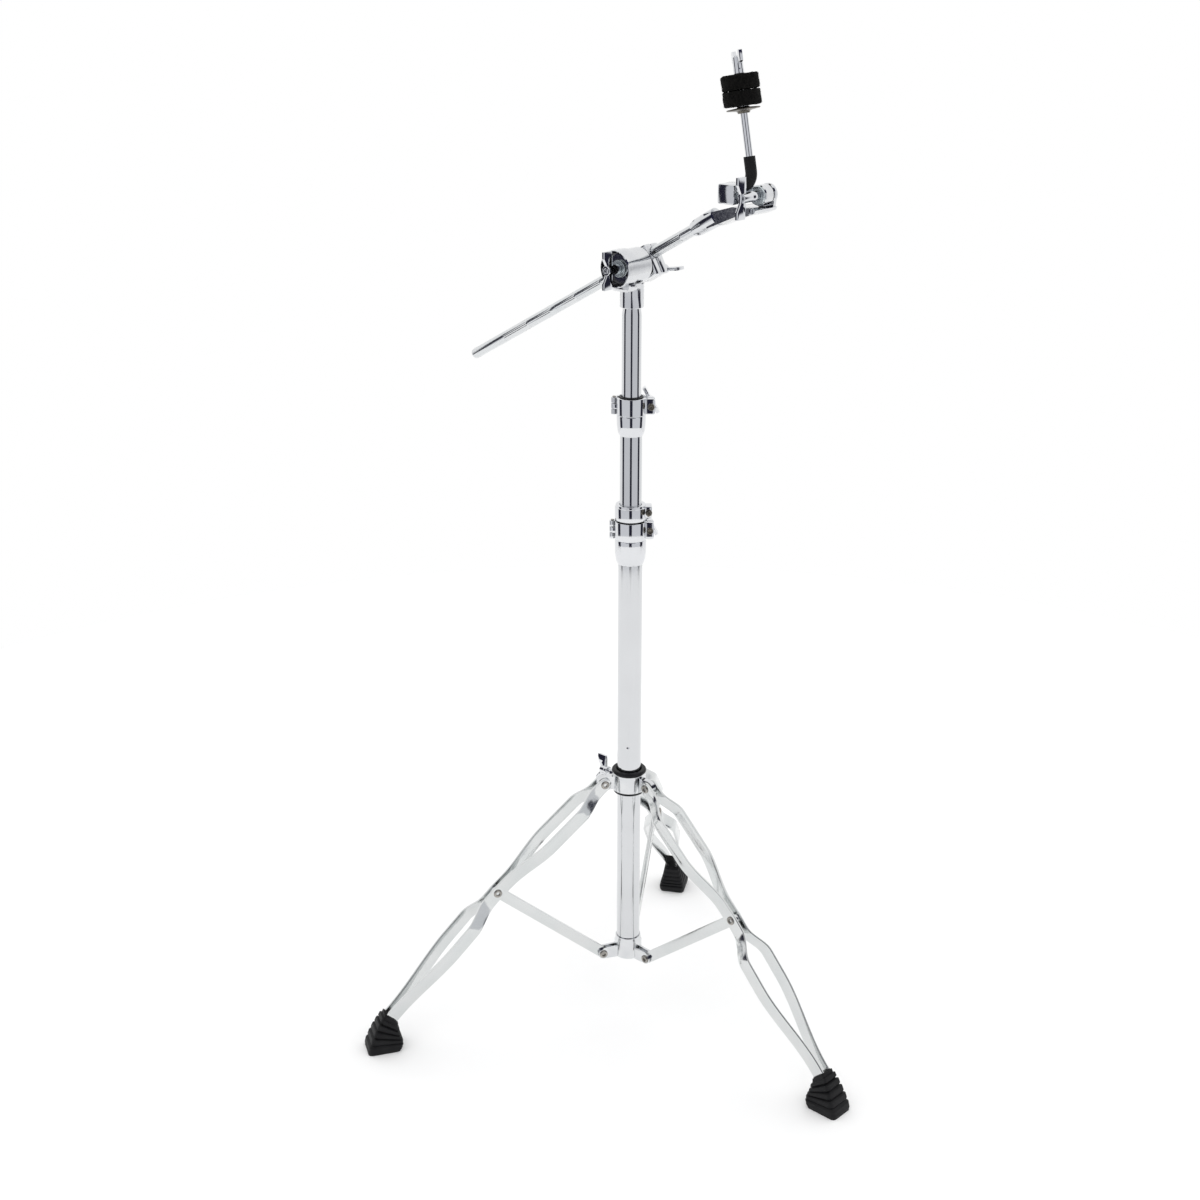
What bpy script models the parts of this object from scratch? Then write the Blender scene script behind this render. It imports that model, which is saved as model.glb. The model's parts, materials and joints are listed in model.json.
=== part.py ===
"""Cymbal boom stand: double-braced tripod, three telescoping tubes, boom tilter and cymbal tilter.

Metres, +Z up. The column stands on the Z axis and the three feet rest on z = 0.
The legs are named left, right and rear as seen from -Y.
"""

import math

import bmesh
import bpy
from mathutils import Matrix, Vector

MM = 0.001
GAP = 0.3 * MM  # between faces that touch
DEG = math.pi / 180

# Column
BASE_RADIUS = 14.3 * MM
MIDDLE_RADIUS = 12.7 * MM
UPPER_RADIUS = 11.1 * MM
TUBE_WALL = 1.2 * MM
BASE_TOP = 632 * MM
MIDDLE_EXPOSED = 126.7 * MM  # from the top of the base tube to the foot of the middle collar
UPPER_EXPOSED = 102.6 * MM  # from the top of the middle collar to the tilter's sleeve
MIDDLE_HIDDEN = 220 * MM
UPPER_HIDDEN = 230 * MM
NECK_RADIUS = 9.9 * MM
NECK_TAPER = 8 * MM

# Collars that clamp the tubes
BASE_CUP_HEIGHT = 30.5 * MM
BASE_BAND_HEIGHT = 22 * MM
MIDDLE_CUP_HEIGHT = 24.5 * MM
MIDDLE_BAND_HEIGHT = 20 * MM
CUP_WALL = 4 * MM
BAND_WALL = 3.2 * MM
BUSH_WALL = 2.6 * MM
BUSH_CLEARANCE = 0.3 * MM
EAR_REACH = 27.2 * MM
EAR_THICKNESS = 5.5 * MM
EAR_OFFSET = 4.2 * MM  # from the middle of the gap between the two ears
BARREL_RADIUS = 3.6 * MM
PIN_RADIUS = 1.6 * MM
CLAMP_BOLT_RADIUS = 3 * MM
CLAMP_BOLT_HEAD = 4 * MM
BUSH_RIM = 1 * MM  # above the band

# Memory lock
LOCK_HEIGHT = 18.4 * MM
LOCK_WALL = 5.4 * MM
LOCK_SCREW_REACH = 2.6 * MM  # of the screw's axis outside the ring

# Tripod
LEGS = {"left": 198 * DEG, "right": -42 * DEG, "rear": 78 * DEG}
HUB_PIVOT = Vector((32.7, 322.3)) * MM  # radius and height of each pivot
KNEE_PIVOT = Vector((169.6, 194.2)) * MM
BRACKET_PIVOT = Vector((34.2, 84.9)) * MM
FOOT_TOP = Vector((307.7, 42.3)) * MM
FOOT_SOLE = Vector((319, 0)) * MM
STRIP_WIDTH = 16 * MM
STRIP_THICKNESS = 3 * MM
UPPER_BOW = 19.5 * MM
LOWER_BOW = 20.5 * MM
FOOT_SPREAD = 5.6 * MM
STRIP_IN_FOOT = 13 * MM
BRACE_WIDTH = 13.5 * MM
BRACE_THICKNESS = 5 * MM
KNEE_GAP = 0.5 * MM
RIVET_RADIUS = 3 * MM
RIVET_HEAD = 5.2 * MM
RIVET_DOME = 2 * MM
HUB_HOLE_CLEARANCE = 1.9 * MM  # the two pivots that close the linkage need it
HUB_EAR_THICKNESS = 8 * MM
OPEN_EAR_THICKNESS = 6.4 * MM  # at those two pivots, where the strips also move a little sideways
HUB_EAR_RADIUS = 8.5 * MM
HUB_HEIGHT = 23 * MM
HUB_WALL = 3 * MM
HUB_BUSH_WALL = 1.8 * MM
HUB_BUSH_CLEARANCE = 1.1 * MM
HUB_BOLT_AZIMUTH = 138 * DEG
HUB_BOSS_RADIUS = 6.5 * MM
HUB_BOSS_LENGTH = 8 * MM
BRACKET_HEIGHT = 21 * MM
BRACKET_WALL = 2.6 * MM
FOOT_LENGTH = 43 * MM
FOOT_WIDTH = 36 * MM
FOOT_RIBS = 4

# Wing bolts and wing nuts
WING_SPAN = 42 * MM
CLAMP_NUT_SPAN = 34 * MM
CLAMP_NUT_RADIUS = 4.4 * MM
CLAMP_NUT_BOSS = 22 * MM  # long enough for its wings to pass behind the band
WING_LENGTH = 14 * MM
WING_THICKNESS = 3.6 * MM
BOSS_RADIUS = 5.6 * MM
BOLT_RADIUS = 3 * MM
WASHER_RADIUS = 10 * MM

# Boom tilter, in the frame of its own axis
BOOM_YAW = 40 * DEG
BOOM_TILT = 28.9 * DEG
TILTER_HEIGHT = 46 * MM  # of the tilt axis above the foot of the sleeve
SLEEVE_WALL = 3.2 * MM
SLEEVE_HEIGHT = 18 * MM
DRUM_RADIUS = 21 * MM
RECESS_RADIUS = 18.3 * MM
RECESS_DEPTH = 8 * MM
HOUSING_FRONT = 30 * MM
HOUSING_BACK = 12 * MM
ROTOR_RADIUS = 19.5 * MM
ROD_RADIUS = 6.35 * MM
ROD_OFFSET = 26 * MM
ROD_ABOVE_AXIS = 6.3 * MM
ROD_TAIL = 310 * MM
ROD_HEAD = 104 * MM
ROD_CLEARANCE = 0.3 * MM
JAW_WIDTH = 30 * MM
JAW_THICKNESS = 11 * MM
ROD_BOLT_DROP = 11 * MM
JAW_FOOT = -ROD_BOLT_DROP - 7.5 * MM  # below and above the tilt axis
JAW_TOP = ROD_ABOVE_AXIS + 11 * MM

# Cymbal tilter, along the boom rod from the tilt axis of the boom
SOCKET_START = 80 * MM
SOCKET_LENGTH = 34 * MM
SOCKET_WALL = 3 * MM
CYMBAL_AXIS = 166 * MM
CHEEK_RADIUS = 11.5 * MM
CHEEK_THICKNESS = 5 * MM
CHEEK_OFFSET = 26 * MM
CYMBAL_ROD_RADIUS = 4 * MM
CYMBAL_ROD_LEAN = -11 * DEG
SLEEVE_RADIUS = 6.2 * MM
FELT_RADIUS = 20 * MM
FELT_HEIGHT = 16 * MM
SEAT_RADIUS = 18 * MM


# ---------------------------------------------------------------- scene and helpers

for old in list(bpy.data.objects):
    bpy.data.objects.remove(old, do_unlink=True)


def new_collection(name):
    made = bpy.data.collections.new(name)
    bpy.context.scene.collection.children.link(made)
    return made


PARTS = new_collection("cymbal_boom_stand")
TOOLS = new_collection("cutters_and_joined_shapes")


def material(name, colour, roughness, metallic):
    made = bpy.data.materials.new(name)
    made.use_nodes = True
    shader = made.node_tree.nodes["Principled BSDF"]
    shader.inputs["Base Color"].default_value = (*colour, 1)
    shader.inputs["Roughness"].default_value = roughness
    shader.inputs["Metallic"].default_value = metallic
    return made


CHROME = material("chrome", (0.82, 0.83, 0.85), 0.08, 1.0)
ZINC = material("zinc", (0.68, 0.72, 0.74), 0.3, 1.0)
STEEL = material("dark_steel", (0.25, 0.24, 0.23), 0.35, 1.0)
RUBBER = material("rubber", (0.025, 0.025, 0.027), 0.6, 0.0)
NYLON = material("nylon", (0.02, 0.02, 0.022), 0.4, 0.0)
FELT = material("felt", (0.03, 0.03, 0.03), 0.95, 0.0)


def frame(origin, along, across):
    """A placement whose Z axis runs along the one direction and whose X axis leans to the other."""
    z = Vector(along).normalized()
    y = z.cross(Vector(across)).normalized()
    x = y.cross(z)
    turn = Matrix((x, y, z)).transposed().to_4x4()
    return Matrix.Translation(Vector(origin)) @ turn


def place_object(name, mesh, place, look):
    obj = bpy.data.objects.new(name, mesh)
    PARTS.objects.link(obj)
    obj.matrix_world = place
    if look:
        obj.data.materials.append(look)
    return obj


def as_tool(obj):
    """Makes the object a cutter, or a shape that another is joined with."""
    PARTS.objects.unlink(obj)
    TOOLS.objects.link(obj)
    obj.hide_render = True
    obj.display_type = "WIRE"
    return obj


def boolean(obj, tool, operation):
    modifier = obj.modifiers.new(operation.lower() + "_" + tool.name, "BOOLEAN")
    modifier.operation = operation
    modifier.solver = "EXACT"
    modifier.object = as_tool(tool)
    return obj


def cut(obj, *tools):
    for tool in tools:
        boolean(obj, tool, "DIFFERENCE")
    return obj


def join(obj, *tools):
    for tool in tools:
        boolean(obj, tool, "UNION")
    return obj


def bevel(obj, width, segments=2):
    modifier = obj.modifiers.new("bevel", "BEVEL")
    modifier.width = width
    modifier.segments = segments
    modifier.limit_method = "ANGLE"
    modifier.angle_limit = 40 * DEG
    return obj


def smooth(obj):
    obj.data.shade_smooth()
    obj.data.set_sharp_from_angle(angle=35 * DEG)
    return obj


def turned(name, profile, place, look=None, steps=24):
    """A profile of (radius, height) points, down its outer side, turned about the frame's Z axis."""
    mesh = bpy.data.meshes.new(name)
    points = [(r, 0, z) for r, z in profile]
    edges = [(i, i + 1) for i in range(len(points) - 1)]
    if profile[0][0] > 0:
        edges.append((len(points) - 1, 0))
    mesh.from_pydata(points, edges, [])
    obj = place_object(name, mesh, place, look)
    screw = obj.modifiers.new("turn", "SCREW")
    screw.steps = screw.render_steps = steps
    screw.use_merge_vertices = True
    screw.merge_threshold = 0.00001
    screw.use_smooth_shade = True
    return obj


def ring(name, inner, outer, low, high, place, look=None, steps=24, edge=0.0):
    """A ring between two heights, with its outer edges broken."""
    outside = [(outer - edge, high), (outer, high - edge), (outer, low + edge), (outer - edge, low)]
    if not edge:
        outside = [(outer, high), (outer, low)]
    return turned(name, outside + [(inner, low), (inner, high)], place, look, steps)


def disc(name, radius, low, high, place, look=None, steps=24, edge=0.0):
    """A solid cylinder between two heights."""
    side = [(radius - edge, high), (radius, high - edge), (radius, low + edge), (radius - edge, low)]
    if not edge:
        side = [(radius, high), (radius, low)]
    return turned(name, [(0, high), *side, (0, low)], place, look, steps)


def box(name, size, place, look=None, edge=0.0):
    mesh = bpy.data.meshes.new(name)
    shape = bmesh.new()
    bmesh.ops.create_cube(shape, size=1)
    bmesh.ops.scale(shape, vec=Vector(size), verts=shape.verts)
    shape.to_mesh(mesh)
    shape.free()
    obj = place_object(name, mesh, place, look)
    return bevel(obj, edge) if edge else obj


def mesh_from_curve(curve, name, place, look):
    """Turns a curve into a mesh object with its caps welded."""
    holder = bpy.data.objects.new(name + "_curve", curve)
    bpy.context.scene.collection.objects.link(holder)
    graph = bpy.context.evaluated_depsgraph_get()
    mesh = bpy.data.meshes.new_from_object(holder.evaluated_get(graph))
    bpy.data.objects.remove(holder)
    bpy.data.curves.remove(curve)
    shape = bmesh.new()
    shape.from_mesh(mesh)
    bmesh.ops.remove_doubles(shape, verts=shape.verts, dist=0.000001)
    bmesh.ops.recalc_face_normals(shape, faces=shape.faces)
    shape.to_mesh(mesh)
    shape.free()
    mesh.name = name
    return place_object(name, mesh, place, look)


def add_loop(curve, points):
    spline = curve.splines.new("POLY")
    spline.points.add(len(points) - 1)
    for point, (x, y) in zip(spline.points, points):
        point.co = (x, y, 0, 1)
    spline.use_cyclic_u = True


def plate(name, outline, thickness, place, look=None, holes=()):
    """A flat outline in the frame's XY plane, half its thickness to each side, with round holes."""
    curve = bpy.data.curves.new(name, "CURVE")
    curve.dimensions = "2D"
    curve.fill_mode = "BOTH"
    curve.extrude = thickness / 2
    add_loop(curve, outline)
    for centre, radius in holes:
        add_loop(curve, arc(centre, radius, 0, 360 * (1 - 1 / 12), 12))
    return mesh_from_curve(curve, name, place, look)


def bar(name, points, radius, place, look=None, sides=3):
    """A round bar through the points, with filled caps."""
    curve = bpy.data.curves.new(name, "CURVE")
    curve.dimensions = "3D"
    curve.bevel_depth = radius
    curve.bevel_resolution = sides
    curve.use_fill_caps = True
    spline = curve.splines.new("POLY")
    spline.points.add(len(points) - 1)
    for point, place_ in zip(spline.points, points):
        point.co = (*place_, 1)
    return mesh_from_curve(curve, name, place, look)


def arc(centre, radius, start, end, count):
    """Points on an arc, with angles in degrees."""
    steps = [start + (end - start) * i / (count - 1) for i in range(count)]
    return [(centre[0] + radius * math.cos(a * DEG), centre[1] + radius * math.sin(a * DEG)) for a in steps]


def capsule(start, end, width):
    """The outline of a bar with round ends, from one centre to the other."""
    angle = math.degrees(math.atan2(end[1] - start[1], end[0] - start[0]))
    half = width / 2
    return arc(start, half, angle + 90, angle + 270, 9) + arc(end, half, angle - 90, angle + 90, 9)


UP = Vector((0, 0, 1))
UPRIGHT = Matrix.Identity(4)


def column(height):
    return Matrix.Translation((0, 0, height))


def radial(azimuth):
    return Vector((math.cos(azimuth), math.sin(azimuth), 0))


# ---------------------------------------------------------------- wings

def wing_outline(span, length, waist):
    """Half-way wings of a wing bolt: wide at the tips and narrow at the boss, along the frame's Y axis."""
    half = span / 2
    return [
        (-half, 0.10 * length), (-waist, 0), (waist, 0), (half, 0.10 * length),
        (half, length), (half - 0.18 * span, length), (waist, 0.62 * length),
        (-waist, 0.62 * length), (-half + 0.18 * span, length), (-half, length),
    ]


def wing_bolt(name, place, shaft, boss, lift=0.0, span=WING_SPAN, turn=0.0, radius=BOSS_RADIUS):
    """A bolt along -Z of its frame from the boss's foot at the origin, with two wings at the boss's end."""
    start = boss - WING_LENGTH * 0.62 + lift
    body = disc(name, radius, 0, boss, place, CHROME, 16, 0.6 * MM)
    blade_place = place @ Matrix.Rotation(turn, 4, "Z") @ Matrix.Translation((0, 0, start))
    blade_place = blade_place @ Matrix.Rotation(90 * DEG, 4, "X")
    blade = plate(name + "_blade", wing_outline(span, WING_LENGTH, radius * 0.8),
                  WING_THICKNESS, blade_place)
    join(body, bevel(blade, 0.6 * MM, 1))
    if shaft:
        join(body, shaft_below(name + "_shaft", BOLT_RADIUS, shaft, place))
    return body


def shaft_below(name, radius, length, place):
    """A shaft along -Z of its frame, from just inside the piece that it joins."""
    inside = 2 * MM
    chamfer = 0.5 * MM
    points = [
        (0, inside), (radius, inside), (radius, chamfer - length), (radius - chamfer, -length), (0, -length),
    ]
    return turned(name, points, place, None, 16)


# ---------------------------------------------------------------- tripod

def leg_frame(azimuth):
    """X runs out along the leg's azimuth, Y up, and Z to the clockwise side as seen from above."""
    return frame((0, 0, 0), radial(azimuth).cross(UP), radial(azimuth))


def along(start, end, distance):
    return start + (end - start).normalized() * distance


def ease(value):
    value = min(1.0, max(0.0, value))
    return value * value * (3 - 2 * value)


def bump(value, low, rise, fall, high):
    """0 outside low to high, 1 between rise and fall, and eased between them."""
    if value < rise:
        return ease((value - low) / (rise - low))
    return 1 - ease((value - fall) / (high - fall))


HUB_SPREAD = HUB_EAR_THICKNESS / 2 + GAP + STRIP_THICKNESS / 2
KNEE_SPREAD = BRACE_THICKNESS / 2 + KNEE_GAP + STRIP_THICKNESS / 2
THIGH = (KNEE_PIVOT - HUB_PIVOT).length
SHIN = (FOOT_TOP - KNEE_PIVOT).length
STRIP_END = along(KNEE_PIVOT, FOOT_TOP, SHIN + STRIP_IN_FOOT)


def strip_spread(reach):
    """How far a strip stands from the middle plane of its leg, by its reach along the leg."""
    if reach < THIGH:
        ends = HUB_SPREAD + (KNEE_SPREAD - HUB_SPREAD) * ease(reach / THIGH)
        return ends + (UPPER_BOW - ends) * bump(reach / THIGH, 0.07, 0.24, 0.52, 0.90)
    part = (reach - THIGH) / SHIN
    ends = KNEE_SPREAD + (FOOT_SPREAD - KNEE_SPREAD) * ease(part)
    return ends + (LOWER_BOW - ends) * bump(part, 0.08, 0.26, 0.42, 0.96)


def leg_strip(name, azimuth, side):
    """A flat bar cut to its side outline, then set out from the leg's middle plane along its length."""
    thigh = (KNEE_PIVOT - HUB_PIVOT).normalized()
    shin = (FOOT_TOP - KNEE_PIVOT).normalized()
    miter = (Vector((-thigh.y, thigh.x)) + Vector((-shin.y, shin.x))).normalized()
    half = STRIP_WIDTH / 2
    down = math.degrees(math.atan2(thigh.y, thigh.x))
    down_shin = math.degrees(math.atan2(shin.y, shin.x))
    outline = arc(HUB_PIVOT, half, down + 90, down + 270, 9)
    outline.append(tuple(KNEE_PIVOT - miter * half))
    outline += arc(STRIP_END - shin * half, half, down_shin - 90, down_shin + 90, 7)
    outline.append(tuple(KNEE_PIVOT + miter * half))
    holes = [(HUB_PIVOT, RIVET_RADIUS + GAP), (KNEE_PIVOT, RIVET_RADIUS + GAP)]
    obj = plate(name, outline, STRIP_THICKNESS, leg_frame(azimuth), CHROME, holes)
    shape = bmesh.new()
    shape.from_mesh(obj.data)
    for start, direction, length in ((HUB_PIVOT, thigh, THIGH), (KNEE_PIVOT, shin, SHIN)):
        for i in range(1, 11):
            point = start + direction * length * (i / 11)
            everything = shape.verts[:] + shape.edges[:] + shape.faces[:]
            bmesh.ops.bisect_plane(shape, geom=everything, dist=0.0000001,
                                   plane_co=(*point, 0), plane_no=(*direction, 0))
    for vertex in shape.verts:
        flat = Vector(vertex.co[:2])
        reach = (flat - HUB_PIVOT).dot(thigh)
        if reach > THIGH:
            reach = THIGH + max(0.0, (flat - KNEE_PIVOT).dot(shin))
        vertex.co.z += side * strip_spread(max(0.0, reach))
    bmesh.ops.triangulate(shape, faces=shape.faces)
    shape.to_mesh(obj.data)
    shape.free()
    return smooth(obj)


def rivet(name, azimuth, centre, half_grip, side=1):
    """A rivet through a pivot: a dome head on one side and a dished end on the other."""
    place = leg_frame(azimuth) @ Matrix.Translation((*centre, 0))
    if side < 0:
        place = place @ Matrix.Rotation(math.pi, 4, "X")
    grip = half_grip + GAP
    dome = [(RIVET_HEAD * math.sin(a * DEG), grip + RIVET_DOME * math.cos(a * DEG)) for a in (0, 40, 90)]
    rolled = [
        (RIVET_RADIUS, grip), (RIVET_RADIUS, -grip), (RIVET_HEAD - 0.5 * MM, -grip),
        (RIVET_HEAD - 1.2 * MM, -grip - 1.4 * MM), (0, -grip - 0.4 * MM),
    ]
    return turned(name, dome + rolled, place, ZINC, 12)


def brace(name, azimuth):
    holes = [(BRACKET_PIVOT, RIVET_RADIUS + GAP), (KNEE_PIVOT, RIVET_RADIUS + GAP)]
    outline = capsule(BRACKET_PIVOT, KNEE_PIVOT, BRACE_WIDTH)
    return plate(name, outline, BRACE_THICKNESS, leg_frame(azimuth), CHROME, holes)


def rounded_rectangle(length, width, corner):
    """Points of a rectangle with round corners, around its middle."""
    points = []
    for sx, sy, start in ((1, 1, 0), (-1, 1, 90), (-1, -1, 180), (1, -1, 270)):
        centre = (sx * (length / 2 - corner), sy * (width / 2 - corner))
        points += arc(centre, corner, start, start + 90, 3)
    return points


def foot(name, azimuth):
    """A rubber boot: bellows that widen from the collar on the strips to a flat sole."""
    shin = (FOOT_TOP - KNEE_PIVOT).normalized()
    slope = math.atan2(shin.x, -shin.y)
    sections = [(0.0, 0.50, 0.52), (0.10, 0.52, 0.54)]
    for i in range(FOOT_RIBS):
        start = 0.10 + 0.62 * i / FOOT_RIBS
        grown = 0.52 + 0.36 * i / FOOT_RIBS
        step = 0.62 / FOOT_RIBS
        sections += [
            (start + 0.02, grown + 0.10, grown + 0.12),
            (start + step * 0.62, grown + 0.13, grown + 0.14),
            (start + step, grown + 0.05, grown + 0.06),
        ]
    sections += [(0.74, 0.98, 0.96), (0.93, 1.0, 1.0), (1.0, 0.95, 0.95)]
    shape = bmesh.new()
    loops = []
    for part, long_share, wide_share in sections:
        centre = FOOT_TOP + (FOOT_SOLE - FOOT_TOP) * part
        lean = slope * (1 - ease(part * 1.15))
        loop = []
        for x, y in rounded_rectangle(FOOT_LENGTH * long_share, FOOT_WIDTH * wide_share, 5 * MM * long_share):
            flat = Vector((x * math.cos(lean), x * math.sin(lean)))
            height = 0.0 if part == 1.0 else centre.y + flat.y
            loop.append(shape.verts.new((centre.x + flat.x, height, y)))
        loops.append(loop)
    count = len(loops[0])
    for upper, lower in zip(loops, loops[1:]):
        for i in range(count):
            j = (i + 1) % count
            shape.faces.new((upper[i], upper[j], lower[j], lower[i]))
    shape.faces.new(loops[0])
    shape.faces.new(loops[-1])
    bmesh.ops.recalc_face_normals(shape, faces=shape.faces)
    mesh = bpy.data.meshes.new(name)
    shape.to_mesh(mesh)
    shape.free()
    boot = place_object(name, mesh, leg_frame(azimuth), RUBBER)
    depth = STRIP_IN_FOOT + 2 * GAP
    middle = along(KNEE_PIVOT, FOOT_TOP, SHIN + depth - 20 * MM)
    tilt = Matrix.Rotation(math.atan2(shin.y, shin.x), 4, "Z")
    pocket_size = (40 * MM, STRIP_WIDTH + 2 * GAP, 2 * FOOT_SPREAD + STRIP_THICKNESS + 2 * GAP)
    pocket_place = leg_frame(azimuth) @ Matrix.Translation((*middle, 0)) @ tilt
    return cut(boot, box(name + "_pocket", pocket_size, pocket_place))


def leg_hub():
    """The sliding collar that carries the legs, with three ears and a boss for its wing bolt."""
    low = HUB_PIVOT.y - HUB_HEIGHT / 2
    inner = BASE_RADIUS + HUB_BUSH_CLEARANCE + HUB_BUSH_WALL + GAP
    hub = ring("leg_hub", inner, inner + HUB_WALL, 0, HUB_HEIGHT, column(low), CHROME, 24, 0.8 * MM)
    for side, azimuth in LEGS.items():
        start = Vector((inner + HUB_WALL / 2, HUB_PIVOT.y))
        outline = [(start.x, start.y + HUB_EAR_RADIUS)]
        outline += [(start.x, start.y - HUB_EAR_RADIUS)]
        outline += arc(HUB_PIVOT, HUB_EAR_RADIUS, -90, 90, 9)
        hole = [(HUB_PIVOT, RIVET_RADIUS + HUB_HOLE_CLEARANCE)]
        thickness = HUB_EAR_THICKNESS if side == "left" else OPEN_EAR_THICKNESS
        join(hub, plate("hub_ear_" + side, outline, thickness, leg_frame(azimuth), None, hole))
    outward = radial(HUB_BOLT_AZIMUTH)
    out = frame(outward * (inner + HUB_WALL / 2) + UP * HUB_PIVOT.y, outward, UP)
    join(hub, disc("hub_boss", HUB_BOSS_RADIUS, 0, HUB_BOSS_LENGTH, out))
    cut(hub, disc("hub_boss_hole", BOLT_RADIUS + GAP, -5 * MM, 12 * MM, out))
    return hub


def hub_bush():
    inner = BASE_RADIUS + HUB_BUSH_CLEARANCE
    outer = inner + HUB_BUSH_WALL
    half = HUB_HEIGHT / 2
    flange = BASE_RADIUS + 6.8 * MM
    lip = outer + 1.8 * MM
    profile = [
        (flange - 1 * MM, half + 4.5 * MM), (flange, half + 3.4 * MM), (flange, half + GAP),
        (outer, half + GAP), (outer, -half - GAP), (lip, -half - GAP), (lip, -half - 3 * MM),
        (inner, -half - 3 * MM), (inner, half + 4.5 * MM),
    ]
    return turned("hub_bush", profile, column(HUB_PIVOT.y), NYLON)


def hub_wing_bolt():
    inner = BASE_RADIUS + HUB_BUSH_CLEARANCE + HUB_BUSH_WALL + GAP
    out = radial(HUB_BOLT_AZIMUTH)
    boss_end = inner + HUB_WALL / 2 + HUB_BOSS_LENGTH
    start = boss_end + 7 * MM
    place = frame(out * start + UP * HUB_PIVOT.y, out, UP)
    return wing_bolt("hub_wing_bolt", place, start - inner - GAP, 11 * MM, 2 * MM, 36 * MM, 8 * DEG)


def base_bracket():
    """The ring at the foot of the base tube, with a clevis for each brace."""
    low = BRACKET_PIVOT.y - 7 * MM
    inner = BASE_RADIUS + GAP
    outer = inner + BRACKET_WALL
    profile = [
        (inner + 1.2 * MM, BRACKET_HEIGHT + 7 * MM), (inner + 1.6 * MM, BRACKET_HEIGHT + 2 * MM),
        (outer, BRACKET_HEIGHT - 1 * MM), (outer, 1 * MM), (outer - 1 * MM, 0), (inner, 0),
        (inner, BRACKET_HEIGHT + 7 * MM),
    ]
    bracket = turned("base_bracket", profile, column(low), CHROME)
    ear = 3 * MM
    offset = BRACE_THICKNESS / 2 + KNEE_GAP + ear / 2
    for side, azimuth in LEGS.items():
        for sign in (-1, 1):
            outline = [(inner + BRACKET_WALL / 2, low + 15 * MM), (inner + BRACKET_WALL / 2, low + 0.5 * MM)]
            outline += arc(BRACKET_PIVOT, 6.5 * MM, -90, 90, 6)
            place = leg_frame(azimuth) @ Matrix.Translation((0, 0, sign * offset))
            hole = [(BRACKET_PIVOT, RIVET_RADIUS + GAP)]
            join(bracket, plate(f"clevis_{side}_{sign}", outline, ear, place, None, hole))
    return bracket


def tripod():
    ear_grip = BRACE_THICKNESS / 2 + KNEE_GAP + 3 * MM
    for side, azimuth in LEGS.items():
        leg_strip(f"{side}_leg_strip_1", azimuth, 1)
        leg_strip(f"{side}_leg_strip_2", azimuth, -1)
        brace(f"{side}_brace", azimuth)
        foot(f"{side}_foot", azimuth)
        head = 1 if side == "right" else -1
        rivet(f"{side}_hub_rivet", azimuth, HUB_PIVOT, HUB_SPREAD + STRIP_THICKNESS / 2, head)
        rivet(f"{side}_knee_rivet", azimuth, KNEE_PIVOT, KNEE_SPREAD + STRIP_THICKNESS / 2, head)
        rivet(f"{side}_bracket_rivet", azimuth, BRACKET_PIVOT, ear_grip, head)
    leg_hub()
    hub_bush()
    hub_wing_bolt()
    base_bracket()


# ---------------------------------------------------------------- column

def tube(name, radius, low, high, neck=None):
    inner = radius - TUBE_WALL
    profile = [(radius, high), (radius, low), (inner, low), (inner, high)]
    if neck:
        bore = neck - TUBE_WALL
        foot_of_neck = high - neck_length() - NECK_TAPER
        profile = [(neck, high), (neck, high - neck_length()), (radius, foot_of_neck), (radius, low),
                   (inner, low), (inner, foot_of_neck), (bore, high - neck_length()), (bore, high)]
    return turned(name, profile, UPRIGHT, CHROME)


def neck_length():
    return SLEEVE_HEIGHT - 3 * MM


def sector(name, inner, outer, low, high, start, end, place, look=None):
    """A slice of a ring, as a plate that lies flat."""
    outline = arc((0, 0), outer, start, end, 12) + arc((0, 0), inner, end, start, 12)
    where = place @ Matrix.Translation((0, 0, (low + high) / 2))
    return plate(name, outline, high - low, where, look)


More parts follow.
